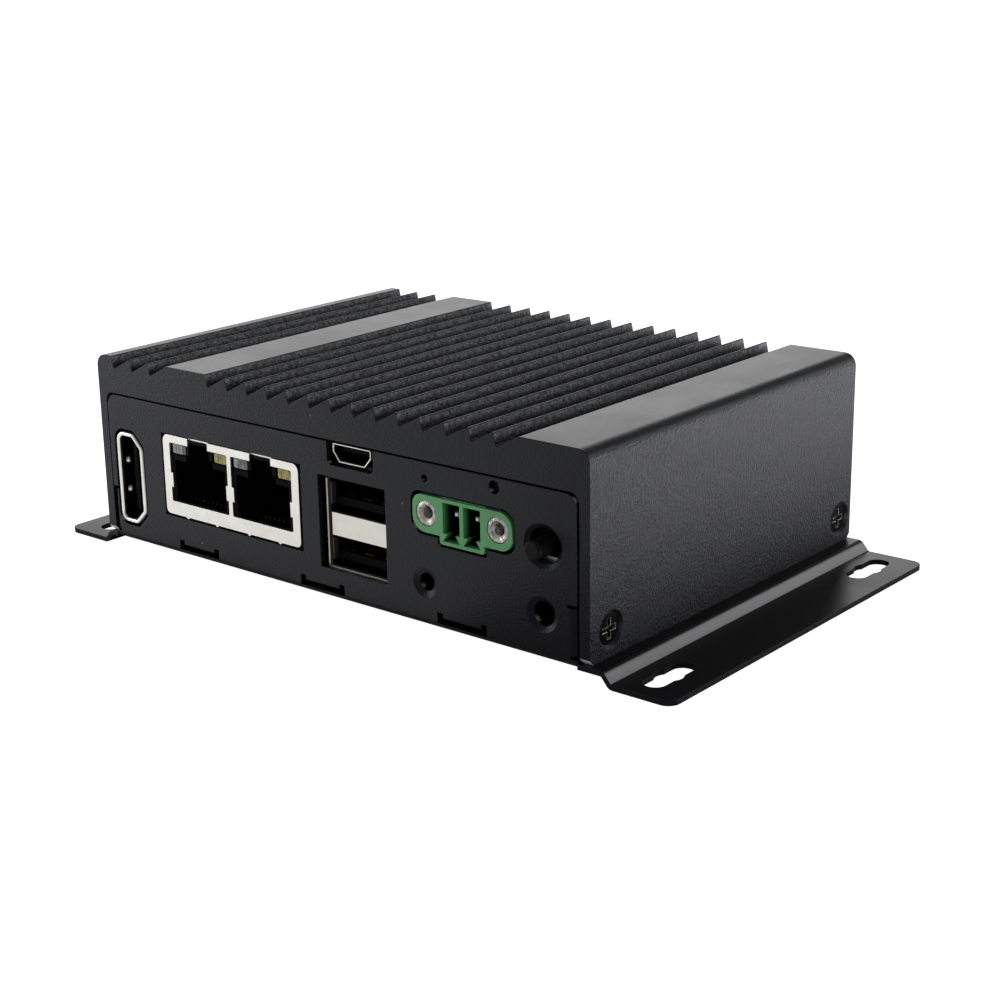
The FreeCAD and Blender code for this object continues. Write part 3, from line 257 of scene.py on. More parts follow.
def blend(tree, share, a, b):
    """Colour between a and b."""
    node = add(tree, "ShaderNodeMix", {"data_type": "RGBA"}, i0=share, i6=a, i7=b)
    return node.outputs[2]


def between(tree, value, low, high, to_low=0.0, to_high=1.0):
    """Value mapped from low..high to to_low..to_high and held there."""
    node = add(tree, "ShaderNodeMapRange", {"interpolation_type": "SMOOTHSTEP"}, Value=value,
               From_Min=low, From_Max=high, To_Min=to_low, To_Max=to_high)
    return node.outputs[0]


def group(name, inputs, outputs, build):
    """Node group made once; inputs are (name, kind, default)."""
    if name in bpy.data.node_groups:
        return bpy.data.node_groups[name]
    tree = bpy.data.node_groups.new(name, "ShaderNodeTree")
    for label, kind, default in inputs:
        socket = tree.interface.new_socket(name=label, in_out="INPUT", socket_type=kind)
        socket.default_value = default
    for label, kind in outputs:
        tree.interface.new_socket(name=label, in_out="OUTPUT", socket_type=kind)
    entry = tree.nodes.new("NodeGroupInput")
    leave = tree.nodes.new("NodeGroupOutput")
    results = build(tree, {item[0]: entry.outputs[item[0]] for item in inputs})
    for label, value in results.items():
        tree.links.new(value, leave.inputs[label])
    return tree


def use(tree, made, **inputs):
    """A node group placed in a tree, with its inputs."""
    return add(tree, "ShaderNodeGroup", {"node_tree": made}, **inputs)


def millimetres(tree, size):
    """Object coordinates divided by a size given in millimetres."""
    spot = add(tree, "ShaderNodeTexCoord").outputs["Object"]
    factor = maths(tree, "DIVIDE", 1.0 / MM, size)
    return add(tree, "ShaderNodeVectorMath", {"operation": "SCALE"}, i0=spot, Scale=factor).outputs[0]


def coat_grain():
    """Orange-peel relief of a baked coat: soft blobs of one size with finer ones on them."""
    def build(tree, given):
        spot = millimetres(tree, given["Size"])
        blob = add(tree, "ShaderNodeTexNoise", Vector=spot, Scale=1.0, Detail=3.0, Roughness=0.55)
        cell = add(tree, "ShaderNodeTexVoronoi", {"feature": "SMOOTH_F1"}, Vector=spot, Scale=1.3)
        dips = product(tree, cell.outputs["Distance"], -0.45)
        height = maths(tree, "ADD", blob.outputs["Fac"], dips)
        peak = between(tree, blob.outputs["Fac"], 0.55, 0.72)
        return {"Height": height, "Peak": peak}
    return group("coat_grain", [("Size", "NodeSocketFloat", 0.35)],
                 [("Height", "NodeSocketFloat"), ("Peak", "NodeSocketFloat")], build)


def worn_edge():
    """Rounded shading normal near an edge, and a mask that grows where the normal turns."""
    def build(tree, given):
        radius = product(tree, given["Radius"], MM)
        soft = add(tree, "ShaderNodeBevel", {"samples": 6}, Radius=radius)
        hard = add(tree, "ShaderNodeNewGeometry").outputs["Normal"]
        same = add(tree, "ShaderNodeVectorMath", {"operation": "DOT_PRODUCT"}, i0=soft.outputs[0], i1=hard)
        mask = between(tree, same.outputs["Value"], 0.995, 0.88)
        return {"Normal": soft.outputs[0], "Edge": mask}
    return group("worn_edge", [("Radius", "NodeSocketFloat", 0.15)],
                 [("Normal", "NodeSocketVector"), ("Edge", "NodeSocketFloat")], build)


def dust():
    """Sparse specks: cells whose random number is high show a small dot at their middle."""
    def build(tree, given):
        spot = millimetres(tree, given["Spacing"])
        cell = add(tree, "ShaderNodeTexVoronoi", {"feature": "F1"}, Vector=spot, Scale=1.0, Randomness=1.0)
        near = between(tree, cell.outputs["Distance"], 0.085, 0.03)
        parts = add(tree, "ShaderNodeSeparateColor", Color=cell.outputs["Color"])
        rare = maths(tree, "LESS_THAN", parts.outputs[0], given["Share"])
        return {"Speck": product(tree, near, rare)}
    return group("dust", [("Spacing", "NodeSocketFloat", 2.4), ("Share", "NodeSocketFloat", 0.3)],
                 [("Speck", "NodeSocketFloat")], build)


def facing():
    """How far the surface faces a direction: 0 below the lower dot product, 1 above the upper."""
    def build(tree, given):
        true = add(tree, "ShaderNodeNewGeometry").outputs["True Normal"]
        dot = add(tree, "ShaderNodeVectorMath", {"operation": "DOT_PRODUCT"}, i0=true, i1=given["Direction"])
        node = add(tree, "ShaderNodeMapRange", Value=dot.outputs["Value"], From_Min=given["Low"],
                   From_Max=given["High"])
        return {"Mask": node.outputs[0]}
    return group("facing", [("Direction", "NodeSocketVector", UP), ("Low", "NodeSocketFloat", 0.9),
                            ("High", "NodeSocketFloat", 0.99)], [("Mask", "NodeSocketFloat")], build)


def fin_flank():
    """1 on the steep faces of the fins: above their roots, between the rails, facing right.

    Rise goes from 0 at the root to 1 at the tip."""
    def build(tree, given):
        spot = add(tree, "ShaderNodeSeparateXYZ", i0=add(tree, "ShaderNodeTexCoord").outputs["Object"])
        root = product(tree, given["Root"], MM)
        high = maths(tree, "GREATER_THAN", spot.outputs[2], root)
        side = maths(tree, "ABSOLUTE", maths(tree, "SUBTRACT", spot.outputs[0],
                                             product(tree, given["Middle"], MM)))
        inner = maths(tree, "LESS_THAN", side, product(tree, given["Reach"], MM))
        steep = use(tree, facing(), Direction=(0.979, 0.0, 0.205), Low=0.95, High=0.99)
        mask = product(tree, product(tree, high, inner), steep.outputs[0])
        rise = between(tree, maths(tree, "SUBTRACT", spot.outputs[2], root), 0.4 * MM, 1.9 * MM)
        return {"Mask": mask, "Rise": rise}
    return group("fin_flank", [("Root", "NodeSocketFloat", 30.9), ("Middle", "NodeSocketFloat", 0.0),
                               ("Reach", "NodeSocketFloat", 48.4)],
                 [("Mask", "NodeSocketFloat"), ("Rise", "NodeSocketFloat")], build)


def near_spot():
    """1 within a radius of a point, falling to 0 just outside it; lengths in millimetres."""
    def build(tree, given):
        spot = millimetres(tree, 1.0)
        far = add(tree, "ShaderNodeVectorMath", {"operation": "DISTANCE"}, i0=spot, i1=given["Centre"])
        return {"Mask": between(tree, far.outputs["Value"], product(tree, given["Radius"], 1.15),
                                given["Radius"])}
    return group("near_spot", [("Centre", "NodeSocketVector", (0.0, 0.0, 0.0)),
                               ("Radius", "NodeSocketFloat", 0.6)], [("Mask", "NodeSocketFloat")], build)


def depth():
    """How far a spot lies past a plane: 0 before the plane, 1 past the reach behind it."""
    def build(tree, given):
        spot = millimetres(tree, 1.0)
        along = add(tree, "ShaderNodeVectorMath", {"operation": "DOT_PRODUCT"}, i0=spot, i1=given["Way"])
        past = maths(tree, "SUBTRACT", along.outputs["Value"], given["Plane"])
        return {"Mask": between(tree, past, 0.0, given["Reach"])}
    return group("depth", [("Way", "NodeSocketVector", BACK), ("Plane", "NodeSocketFloat", 0.0),
                           ("Reach", "NodeSocketFloat", 1.0)], [("Mask", "NodeSocketFloat")], build)


def tool_marks():
    """Fine lines across one direction: noise stretched along the lines."""
    def build(tree, given):
        spot = millimetres(tree, given["Size"])
        long = add(tree, "ShaderNodeVectorMath", {"operation": "MULTIPLY"}, i0=spot, i1=given["Stretch"])
        lines = add(tree, "ShaderNodeTexNoise", Vector=long.outputs[0], Scale=1.0, Detail=2.0, Roughness=0.6)
        return {"Height": lines.outputs["Fac"]}
    return group("tool_marks", [("Size", "NodeSocketFloat", 0.2),
                                ("Stretch", "NodeSocketVector", (1.0, 0.05, 1.0))],
                 [("Height", "NodeSocketFloat")], build)


def patches():
    """Slow drift of tone over the surface, from -1 to 1."""
    def build(tree, given):
        spot = millimetres(tree, given["Size"])
        cloud = add(tree, "ShaderNodeTexNoise", Vector=spot, Scale=1.0, Detail=4.0, Roughness=0.6)
        return {"Drift": between(tree, cloud.outputs["Fac"], 0.3, 0.7, -1.0, 1.0)}
    return group("patches", [("Size", "NodeSocketFloat", 12.0)], [("Drift", "NodeSocketFloat")], build)


def blank(name):
    """Empty material with its tree and a Principled shader joined to the output."""
    material = bpy.data.materials.new(name)
    material.use_nodes = True
    tree = material.node_tree
    tree.nodes.clear()
    shader = tree.nodes.new("ShaderNodeBsdfPrincipled")
    leave = tree.nodes.new("ShaderNodeOutputMaterial")
    tree.links.new(shader.outputs[0], leave.inputs["Surface"])
    return material, tree, shader


def drifting(tree, drift, spread, middle):
    """Number that drifts up to a spread either side of its middle."""
    return maths(tree, "MULTIPLY_ADD", drift.outputs["Drift"], spread, middle)


def bumped(tree, shader, height, depth, normal=None):
    """Relief of the given depth in millimetres on the shader's normal."""
    bump = add(tree, "ShaderNodeBump", Height=height, Strength=1.0, Distance=depth * MM)
    if normal is not None:
        tree.links.new(normal, bump.inputs["Normal"])
    tree.links.new(bump.outputs[0], shader.inputs["Normal"])


def tone(colour, factor=1.0, lift=0.0):
    """Opaque colour, made lighter or darker by a factor and lifted, and no brighter than white."""
    return tuple(min(1.0, c * factor + lift) for c in colour) + (1.0,)


def grey(value):
    """Opaque neutral grey."""
    return (value, value, value, 1.0)


def faces_either(tree, first, second, low):
    """1 where the surface faces one of two directions, fading in from a dot product."""
    masks = [use(tree, facing(), Direction=way, Low=low, High=0.99).outputs[0] for way in (first, second)]
    return maths(tree, "MAXIMUM", masks[0], masks[1])


def painted_step_highlight(tree, base, relief, look):
    """Smoother coat on the two steps above the flanges, whose lighter grey is a painted highlight."""
    slope = faces_either(tree, (STEP_X, 0.0, STEP_Z), (-STEP_X, 0.0, STEP_Z), 0.96)
    relief = product(tree, relief, between(tree, slope, 0.0, 1.0, 1.0, 0.4))
    # painted highlight: the steps are coloured a lighter grey
    return blend(tree, slope, base, grey(look.step)), relief


def milled(tree, base, relief, look):
    """Near-white bevels at the cover's feet, a painted glint over uncoated metal, and rippled, leathery fins
    painted lighter towards their tips as painted light, so their roots look shaded.
    """
    # Painted glint: downward bevels at the cover's feet turn near white, standing also for uncoated metal
    # there.
    bare_glint = faces_either(tree, (0.0, -DIAGONAL, -DIAGONAL), (0.0, DIAGONAL, -DIAGONAL), 0.95)
    base = blend(tree, bare_glint, base, BARE_METAL_GLINT)
    low, high = place("heatsink_cover")
    flank = use(tree, fin_flank(), Root=high[2] / MM - FIN_HEIGHT, Middle=0.5 * (low[0] + high[0]) / MM,
                Reach=0.5 * (high[0] - low[0]) / MM - SIDE_RAIL)
    ripple = use(tree, tool_marks(), Size=0.5, Stretch=(0.1, 1.0, 0.1))
    leather = use(tree, coat_grain(), Size=0.75)
    rolled = maths(tree, "MULTIPLY_ADD", ripple.outputs[0], look.ripple,
                   product(tree, leather.outputs["Height"], look.leather))
    relief = maths(tree, "MULTIPLY_ADD", rolled, flank.outputs[0], relief)
    # Painted light: the steep fin faces turn lighter towards their tips, in blotches, so the roots read as
    # shaded.
    patch = between(tree, leather.outputs["Height"], 0.1, 0.5, 0.35, 1.0)
    wear_and_fin_light = product(tree, product(tree, flank.outputs[0], flank.outputs[1]), patch)
    return blend(tree, wear_and_fin_light, base, tone(FIN_TIP_LIGHT, look.fin_tip_light)), relief


def coated(name, colour, look, finish):
    """Textured black coat over metal: grain, thin bright edges, dust; finish adds its own marks and painted
    light.
    """
    material, tree, shader = blank(name)
    finer = 0.45
    grain = use(tree, coat_grain(), Size=look.grain)
    fine = use(tree, coat_grain(), Size=look.grain * finer)
    edge = use(tree, worn_edge(), Radius=look.edge)
    drift = use(tree, patches(), Size=14.0)
    specks = use(tree, dust(), Spacing=2.6, Share=look.dust)
    top = use(tree, facing(), Direction=UP, Low=0.96, High=0.995)
    across = use(tree, facing(), Direction=(1.0, 0.0, 0.0), Low=0.9, High=0.97)

    base = blend(tree, product(tree, grain.outputs["Peak"], look.peak), tone(colour),
                 tone(colour, PEAK_FACTOR, PEAK_LIFT))
    base = blend(tree, product(tree, edge.outputs["Edge"], look.edge_tone), base, EDGE_METAL)
    base = blend(tree, product(tree, specks.outputs["Speck"], 0.7), base, grey(0.2))
    rough = drifting(tree, drift, 0.03, look.rough)
    rough = maths(tree, "MULTIPLY_ADD", fine.outputs["Height"], 0.08, rough)
    relief = maths(tree, "ADD", grain.outputs["Height"], product(tree, fine.outputs["Height"], 0.4))
    calm = between(tree, top.outputs[0], 0.0, 1.0, 1.0, look.top_grain)
    rougher = maths(tree, "MULTIPLY_ADD", across.outputs[0], look.side_grain - 1.0, 1.0)
    relief = product(tree, product(tree, relief, calm), rougher)
    base, relief = finish(tree, base, relief, look)
    feed(tree, shader, {"Base Color": base, "Roughness": rough, "Specular IOR Level": look.shine,
                        "Specular Tint": COAT_SHEEN})
    bumped(tree, shader, relief, look.relief, edge.outputs["Normal"])
    return material


def painted_depth_shade(tree, base, depth_shade):
    """Colour darkened past planes, as painted shade far inside a part; the last argument is (share left,
    planes, centres of spots that stay bright).

    A plane is (direction, distance along it, reach of the change), all lengths in millimetres."""
    if depth_shade is None:
        return base
    share, planes, centres = depth_shade
    shaded = 0.0
    for way, plane, reach in planes:
        shaded = maths(tree, "MAXIMUM", shaded,
                       use(tree, depth(), Way=way, Plane=plane, Reach=reach).outputs[0])
    for centre in centres:
        clear = use(tree, near_spot(), Centre=centre, Radius=0.75).outputs[0]
        shaded = product(tree, shaded, maths(tree, "SUBTRACT", 1.0, clear))
    # painted shade: the colour is scaled down where a part lies past a plane
    dark = add(tree, "ShaderNodeVectorMath", {"operation": "SCALE"}, i0=base, Scale=share).outputs[0]
    return blend(tree, shaded, base, dark)


def plated(name, colour, rough, streak=(1.0, 1.0, 0.08), relief=0.004, stain=0.35, depth_shade=None):
    """Plated or uncoated metal: fine drawn lines, slow stains, rounded edges, and painted shade past given
    planes.
    """
    material, tree, shader = blank(name)
    lines = use(tree, tool_marks(), Size=0.12, Stretch=streak)
    drift = use(tree, patches(), Size=2.4)
    edge = use(tree, worn_edge(), Radius=0.08)
    share = drifting(tree, drift, 0.5 * stain, 0.5 * stain)
    base = blend(tree, share, tone(colour), tone([c * f for c, f in zip(colour, STAIN)]))
    scuffed = maths(tree, "MULTIPLY_ADD", lines.outputs[0], 0.12, rough - 0.04)
    feed(tree, shader, {"Base Color": painted_depth_shade(tree, base, depth_shade), "Metallic": 1.0, "Roughness": scuffed})
    bumped(tree, shader, lines.outputs[0], relief, edge.outputs["Normal"])
    return material


def moulded(name, colour, rough, relief=0.006, bright=0.35, specular=0.5, depth_shade=None):
    """Moulded plastic: spark-eroded grain, a slow change of tone, lighter moulded edges and painted shade
    past given planes.
    """
    material, tree, shader = blank(name)
    grain = use(tree, coat_grain(), Size=0.16)
    drift = use(tree, patches(), Size=5.0)
    edge = use(tree, worn_edge(), Radius=0.1)
    base = blend(tree, drifting(tree, drift, 0.5, 0.5), tone(colour), tone(colour, 0.86))
    base = blend(tree, product(tree, edge.outputs["Edge"], bright), base, tone(colour, 1.6, 0.01))
    duller = maths(tree, "MULTIPLY_ADD", grain.outputs["Peak"], 0.1, rough)
    feed(tree, shader, {"Base Color": painted_depth_shade(tree, base, depth_shade), "Roughness": duller,
                        "Specular IOR Level": specular})
    bumped(tree, shader, grain.outputs["Height"], relief, edge.outputs["Normal"])
    return material


def lens(name, colour, lit):
    """Frosted light guide: clouded resin, ribbed from behind, blended between a dull and a lit tone along the
    ribs and in patches.
    """
    material, tree, shader = blank(name)
    ribs = use(tree, tool_marks(), Size=0.35, Stretch=(1.0, 1.0, 0.06))
    drift = use(tree, patches(), Size=1.2)
    share = maths(tree, "MULTIPLY_ADD", drift.outputs["Drift"], 0.3,
                  between(tree, ribs.outputs[0], 0.35, 0.65), clamp=True)
    base = blend(tree, share, tone(colour), tone(lit))
    feed(tree, shader, {"Base Color": base, "Roughness": between(tree, ribs.outputs[0], 0.3, 0.7, 0.25, 0.45),
                        "Subsurface Weight": 0.15, "Subsurface Scale": 0.6 * MM})
    bumped(tree, shader, ribs.outputs[0], 0.05)
    return material


def dress(node, material):
    """A carried-over CAD node takes a finish in every slot."""
    mesh = NODES[node].data
    mesh.materials.clear()
    mesh.materials.append(material)


# ---------------------------------------------------------------- settings
def number(name, description, default, most=1.0):
    """Property for a share, a tone or a length in millimetres, from nothing upwards."""
    return FloatProperty(name=name, description=description, default=default, min=0.0, max=most)


def shade(name, description, default):
    """Property for a colour."""
    return FloatVectorProperty(name=name, description=description, subtype="COLOR", default=default,
                               min=0.0, max=1.0)


def distance(name, description, default, least, most):
    """Property for a length in metres."""
    return FloatProperty(name=name, description=description, subtype="DISTANCE", default=default,
                         min=least, max=most)


def watts(name, description, default):
    """Property for the power of a light in watts."""
    return FloatProperty(name=name, description=description, subtype="POWER", default=default,
                         min=0.0, max=50.0)


class HousingLook(bpy.types.PropertyGroup):
    cover: shade("Cover colour", "Coat of the finned cover", (0.003, 0.0032, 0.0042))
    tray: shade("Tray colour", "Coat of the folded tray", (0.003, 0.0031, 0.0037))
    grain: FloatProperty(name="Grain size", description="Size of the coat's blobs in millimetres",
                         default=0.42, min=0.05, max=3.0)
    relief: number("Relief", "Depth of the coat's blobs in millimetres", 0.05, 0.5)
    top_grain: number("Grain on top", "Share of the relief left on level faces", 0.3)
    side_grain: number("Grain on the side", "How much deeper the relief is there", 6.0, 10.0)
    ripple: number("Fin ripple", "Depth of the marks across the fins", 2.0, 10.0)
    # tone of the painted light on the upper half of each fin
    fin_tip_light: number("Fin tips", "Tone the upper half of a fin fades to", 0.34)
    # grey of the painted highlight on the step above each flange
    step: number("Step", "Tone of the burnished step above a flange", 0.27)
    leather: number("Fin leather", "Depth of the blobs on the fins", 2.5, 10.0)
    peak: number("Peaks", "How far the peaks of the grain turn grey", 0.2)
    shine: number("Shine", "Specular level of the coat", 0.25)
    rough: number("Roughness", "Roughness of the coat", 0.34)
    edge: number("Edge radius", "Rounding of the edges in millimetres", 0.22)
    edge_tone: number("Edge wear", "How far the edges turn grey", 0.04)
    dust: number("Dust", "Share of spots with a speck", 0.1)


class SocketLook(bpy.types.PropertyGroup):
    nickel: shade("Nickel", "Plated shells", (0.72, 0.71, 0.68))
    gold: shade("Contacts", "Gold flashed contacts", (0.12, 0.09, 0.05))
    black: shade("Insulator", "Black mouldings", (0.0012, 0.0012, 0.0014))
    green: shade("Header", "Green moulding", (0.1, 0.38, 0.135))
    contact_wire: distance("Contact wire", "Thickness of a network contact", 0.3 * MM, 0.1 * MM, MM)
    port_pitch: distance("Port pitch", "Between the two network ports", 14.35 * MM, 10.0 * MM, 20.0 * MM)
    contact_pitch: distance("Contact pitch", "Between two network contacts", 1.02 * MM, 0.5 * MM, 3.0 * MM)


class ScrewLook(bpy.types.PropertyGroup):
    recess: distance("Recess", "Across the cross recess", 2.9 * MM, MM, 5.0 * MM)
    pitch: distance("Thread pitch", "Pitch of the thread", 0.5 * MM, 0.2 * MM, 2.0 * MM)
    steps: IntProperty(name="Steps", description="Divisions round a turned part", default=96, min=16,
                       max=256)


class StageLook(bpy.types.PropertyGroup):
    sky: number("Room light", "Strength of the even light of the room", 0.3, 5.0)
    side: watts("Side light", "Power of the soft light at the right", 0.38)
    glow: watts("Right sheet", "Power of the light sheet lying at the right", 1.6)
    front: watts("Front sheet", "Power of the light sheet lying at the front", 0.172)
    back: watts("Back light", "Power of the soft light behind the left", 1.9)
    left: watts("Left light", "Power of the small light at the left", 0.25)
    lens: FloatProperty(name="Lens", description="Focal length of the camera in millimetres",
                        default=67.667, min=10.0, max=300.0)


class ComputerLook(bpy.types.PropertyGroup):
    housing: PointerProperty(type=HousingLook)
    sockets: PointerProperty(type=SocketLook)
    screws: PointerProperty(type=ScrewLook)
    stage: PointerProperty(type=StageLook)


def settings(context):
    """Values shown in the panel."""
    return context.scene.computer_look


def shared(kind, look):
    """Materials used by more than one group of pieces, made when first asked for."""
    made = bpy.data.materials.get(kind)
    if made is not None:
        return made
    if kind == "nickel_plate":
        return plated(kind, look.nickel, 0.3)
    if kind == "gold_flash":
        return plated(kind, look.gold, 0.4, relief=0.002)
    if kind == "black_moulding":
        return moulded(kind, look.black, 0.55, bright=0.1, specular=0.04)
    if kind == "zinc_plate":
        return plated(kind, (0.6, 0.61, 0.62), 0.35)
    if kind == "chip_resin":
        return moulded(kind, (0.016, 0.016, 0.017), 0.5)
    if kind == "turned_brass":
        return plated(kind, (0.78, 0.6, 0.28), 0.25, streak=(0.1, 0.1, 1.0))
    raise ValueError("no such finish: " + kind)


# ---------------------------------------------------------------- pieces
class COMPUTER_OT_housing(bpy.types.Operator):
    """Coat of the finned cover and of the folded tray"""
    bl_idname = "computer.housing"
    bl_label = "Housing"

    def execute(self, context):
        look = settings(context).housing
        dress("heatsink_cover", coated("cover_coat", look.cover, look, milled))
        dress("chassis_tray", coated("tray_coat", look.tray, look, painted_step_highlight))
        return {"FINISHED"}


class COMPUTER_OT_screws(bpy.types.Operator):
    """Four countersunk screws with cross recesses"""
    bl_idname = "computer.screws"
    bl_label = "Side screws"

    def execute(self, context):
        look = settings(context).screws
        low, high = place("cover_screws")
        head = 2.45 * MM
        shank = 1.2 * MM
        length = 3.5 * MM
        face = 0.06 * MM
        half = look.recess / 2.0
        slim = look.recess * 0.11
        cross_slope = 0.14 * MM
        cross_depth = 0.75 * MM
        thread_start = 1.5 * MM
        thread_depth = 0.16 * MM

        def press(t, r, h):
            """Depth of the cross: a rounded step from the distance inside its nearest arm."""
            a = np.abs(r * np.cos(t))
            b = np.abs(r * np.sin(t))
            inside = np.maximum(np.minimum(slim - a, half - b), np.minimum(half - a, slim - b))
            depth = np.clip(inside / cross_slope + 0.3, 0.0, 1.0)
            on_face = (h < face + 0.3 * MM) & (r < half * 1.1)
            return np.where(on_face, cross_depth * depth * depth * (3.0 - 2.0 * depth), 0.0)

        def swell(t, r, h):
            """Thread: the radius drops by a triangle wave of height / pitch minus the turn."""
            turn = (h / look.pitch - t / FULL_TURN) % 1.0
            shaft = (h > thread_start) & (r > 0.8 * shank)
            return np.where(shaft, -thread_depth * np.abs(2.0 * turn - 1.0), 0.0)

        rings = np.linspace(0.0, head - 0.12 * MM, 34)
        crown = face + 0.05 * MM * (rings / head) ** 4
        profile = list(zip(rings, crown))
        profile += [(head - 0.04 * MM, face + 0.07 * MM), (head, face + 0.14 * MM),
                    (shank + 0.15 * MM, head - shank + face)]
        profile += [(shank, h) for h in np.linspace(head - shank + 2.0 * face, length, 30)]
        profile += [(shank * 0.7, length + 0.12 * MM), (0.0, length + 0.12 * MM)]
        parts = []
        y_front = low[1] + head
        y_rear = high[1] - head
        z = 0.5 * (low[2] + high[2])
        for y in (y_front, y_rear):
            for wall, inwards in ((low[0], 1.0), (high[0], -1.0)):
                points, faces = turned((0.0, 0.0, 0.0), "x", profile, look.steps, swell, press)
                points[:, 0] *= inwards
                points += np.array([wall, y, z])
                parts.append((points, faces))
        screws = piece("side_screws", parts, self.finish(), "computer")
        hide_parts("cover_screws")
        return {"FINISHED"}

    def finish(self):
        """Blackened steel: dark oxide rubbed through to metal on the rims of the recess."""
        material, tree, shader = blank("black_oxide")
        edge = use(tree, worn_edge(), Radius=0.16)
        drift = use(tree, patches(), Size=1.1)
        wear_and_fin_light = product(tree, edge.outputs["Edge"], drifting(tree, drift, 0.35, 0.7), clamp=True)
        base = blend(tree, wear_and_fin_light, (0.0015, 0.0015, 0.0017, 1.0), (0.85, 0.85, 0.85, 1.0))
        feed(tree, shader, {"Base Color": base, "Metallic": wear_and_fin_light, "Specular IOR Level": 0.03,
                            "Roughness": drifting(tree, drift, 0.06, 0.3), "Normal": edge.outputs["Normal"]})
        return material


class COMPUTER_OT_network(bpy.types.Operator):
    """Twin network socket: shell, housing, spring contacts and light guides"""
    bl_idname = "computer.network"
    bl_label = "Network socket"

    def execute(self, context):
        look = settings(context).sockets
        dress("lan_shell", shared("nickel_plate", look))
        dress("lan_housing", shared("black_moulding", look))
        low, high = place("lan_contacts")
        size = look.contact_wire
        middle = 0.5 * (low[0] + high[0])
        path = eased([(low[1], low[2] + 0.5 * size), (low[1] + 1.2 * MM, low[2] + 0.5 * size),
                      (low[1] + 2.0 * MM, low[2] + 0.8 * size), (high[1] - 1.2 * MM, high[2] - 0.6 * size),
                      (high[1] - 0.5 * size, high[2] - 0.6 * size), (high[1] - 0.5 * size, low[2] + size)], 3)
        parts = []
        for port in (-0.5, 0.5):
            for k in range(8):
                x = middle + port * look.port_pitch + (k - 3.5) * look.contact_pitch
                line = np.column_stack([np.full(len(path), x), path])
                parts.append(wire(line, size, size, power=3.0))
        wires = piece("lan_spring_wires", parts, shared("gold_flash", look), "computer")
        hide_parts("lan_contacts")
        self.guides("lan_lights_clear", "clear_guides", "clear_lens", (0.06, 0.062, 0.062), (0.3, 0.3, 0.29))
        self.guides("lan_lights_yellow", "yellow_guides", "yellow_lens", (0.07, 0.062, 0.01),
                    (0.38, 0.34, 0.08))
        return {"FINISHED"}

    def guides(self, node, name, slot, dull, lit):
        """Two light guides, one over each port, as blocks with rounded edges."""
        low, high = place(node)
        wide = 3.6 * MM
        parts = []
        for x in (low[0], high[0] - wide):
            parts.append(soft_block((x, low[1], low[2]), (x + wide, high[1], high[2]), 9.0))
        made = piece(name, parts, lens(name + "_resin", dull, lit), "computer", 60.0)
        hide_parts(node)


class COMPUTER_OT_display(bpy.types.Operator):
    """Upright display socket: flared shell, insulator and contacts"""
    bl_idname = "computer.display"
    bl_label = "Display socket"

    def execute(self, context):
        look = settings(context).sockets
        low, high = place("hdmi_shell")
        lip = 0.5 * MM
        wall = 0.24 * MM
        thick = 0.5 * MM
        slope = 2.0 * MM
        x0 = low[0] + lip
        x1 = high[0] - lip
        z0 = low[2] + lip
        z1 = high[2] - lip
        r = 0.62 * MM
        points, ways = outline([(x0, z0, 2.0 * r), (x1 - slope, z0, r), (x1, z0 + slope, r),
                                (x1, z1 - slope, r), (x1 - slope, z1, r), (x0, z1, 2.0 * r)])
        front = low[1]
        back = high[1]
        rim = front + thick
        nose = [(0.46 * MM, rim - 0.05 * MM), (0.5 * MM, rim - 0.12 * MM), (0.45 * MM, front + 0.2 * MM),
                (0.34 * MM, front + 0.04 * MM), (0.2 * MM, front), (0.0, front),
                (-0.14 * MM, front + 0.04 * MM), (-wall, front + 0.16 * MM)]
        profile = [(0.0, back), (0.0, rim + 0.12 * MM), (0.1 * MM, rim), (0.4 * MM, rim)] + nose + \
                  [(-wall, rim), (-wall, back)]
        parts = [shell(points, ways, profile)]
        height = 0.5 * (low[2] + high[2])
        dots = []
        bump_depth = 1.4 * MM
        bump_pitch = 5.0 * MM
        reach = np.array([0.5, 0.62, 0.62]) * MM
        for side in (-0.5, 0.5):
            middle = np.array([x0 + wall, rim + bump_depth, height + side * bump_pitch])
            parts.append(soft_block(middle - reach, middle + reach, 2.0, 14, 24))
            dots.append(tuple(middle / MM + np.array([0.4, 0.0, 0.0])))
        # Painted shade: the shell turns dark past a plane just behind its rim, except round the two spring
        # bumps.
        depth_shade = (0.02, [(BACK, rim / MM - 0.1, 0.35)], dots)
        made = piece("hdmi_flared_shell", parts, plated("flared_nickel", look.nickel, 0.3, depth_shade=depth_shade),
                     "computer")
        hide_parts("hdmi_shell")
        dress("hdmi_insulator", shared("black_moulding", look))
        dress("hdmi_contacts", shared("gold_flash", look))
        return {"FINISHED"}


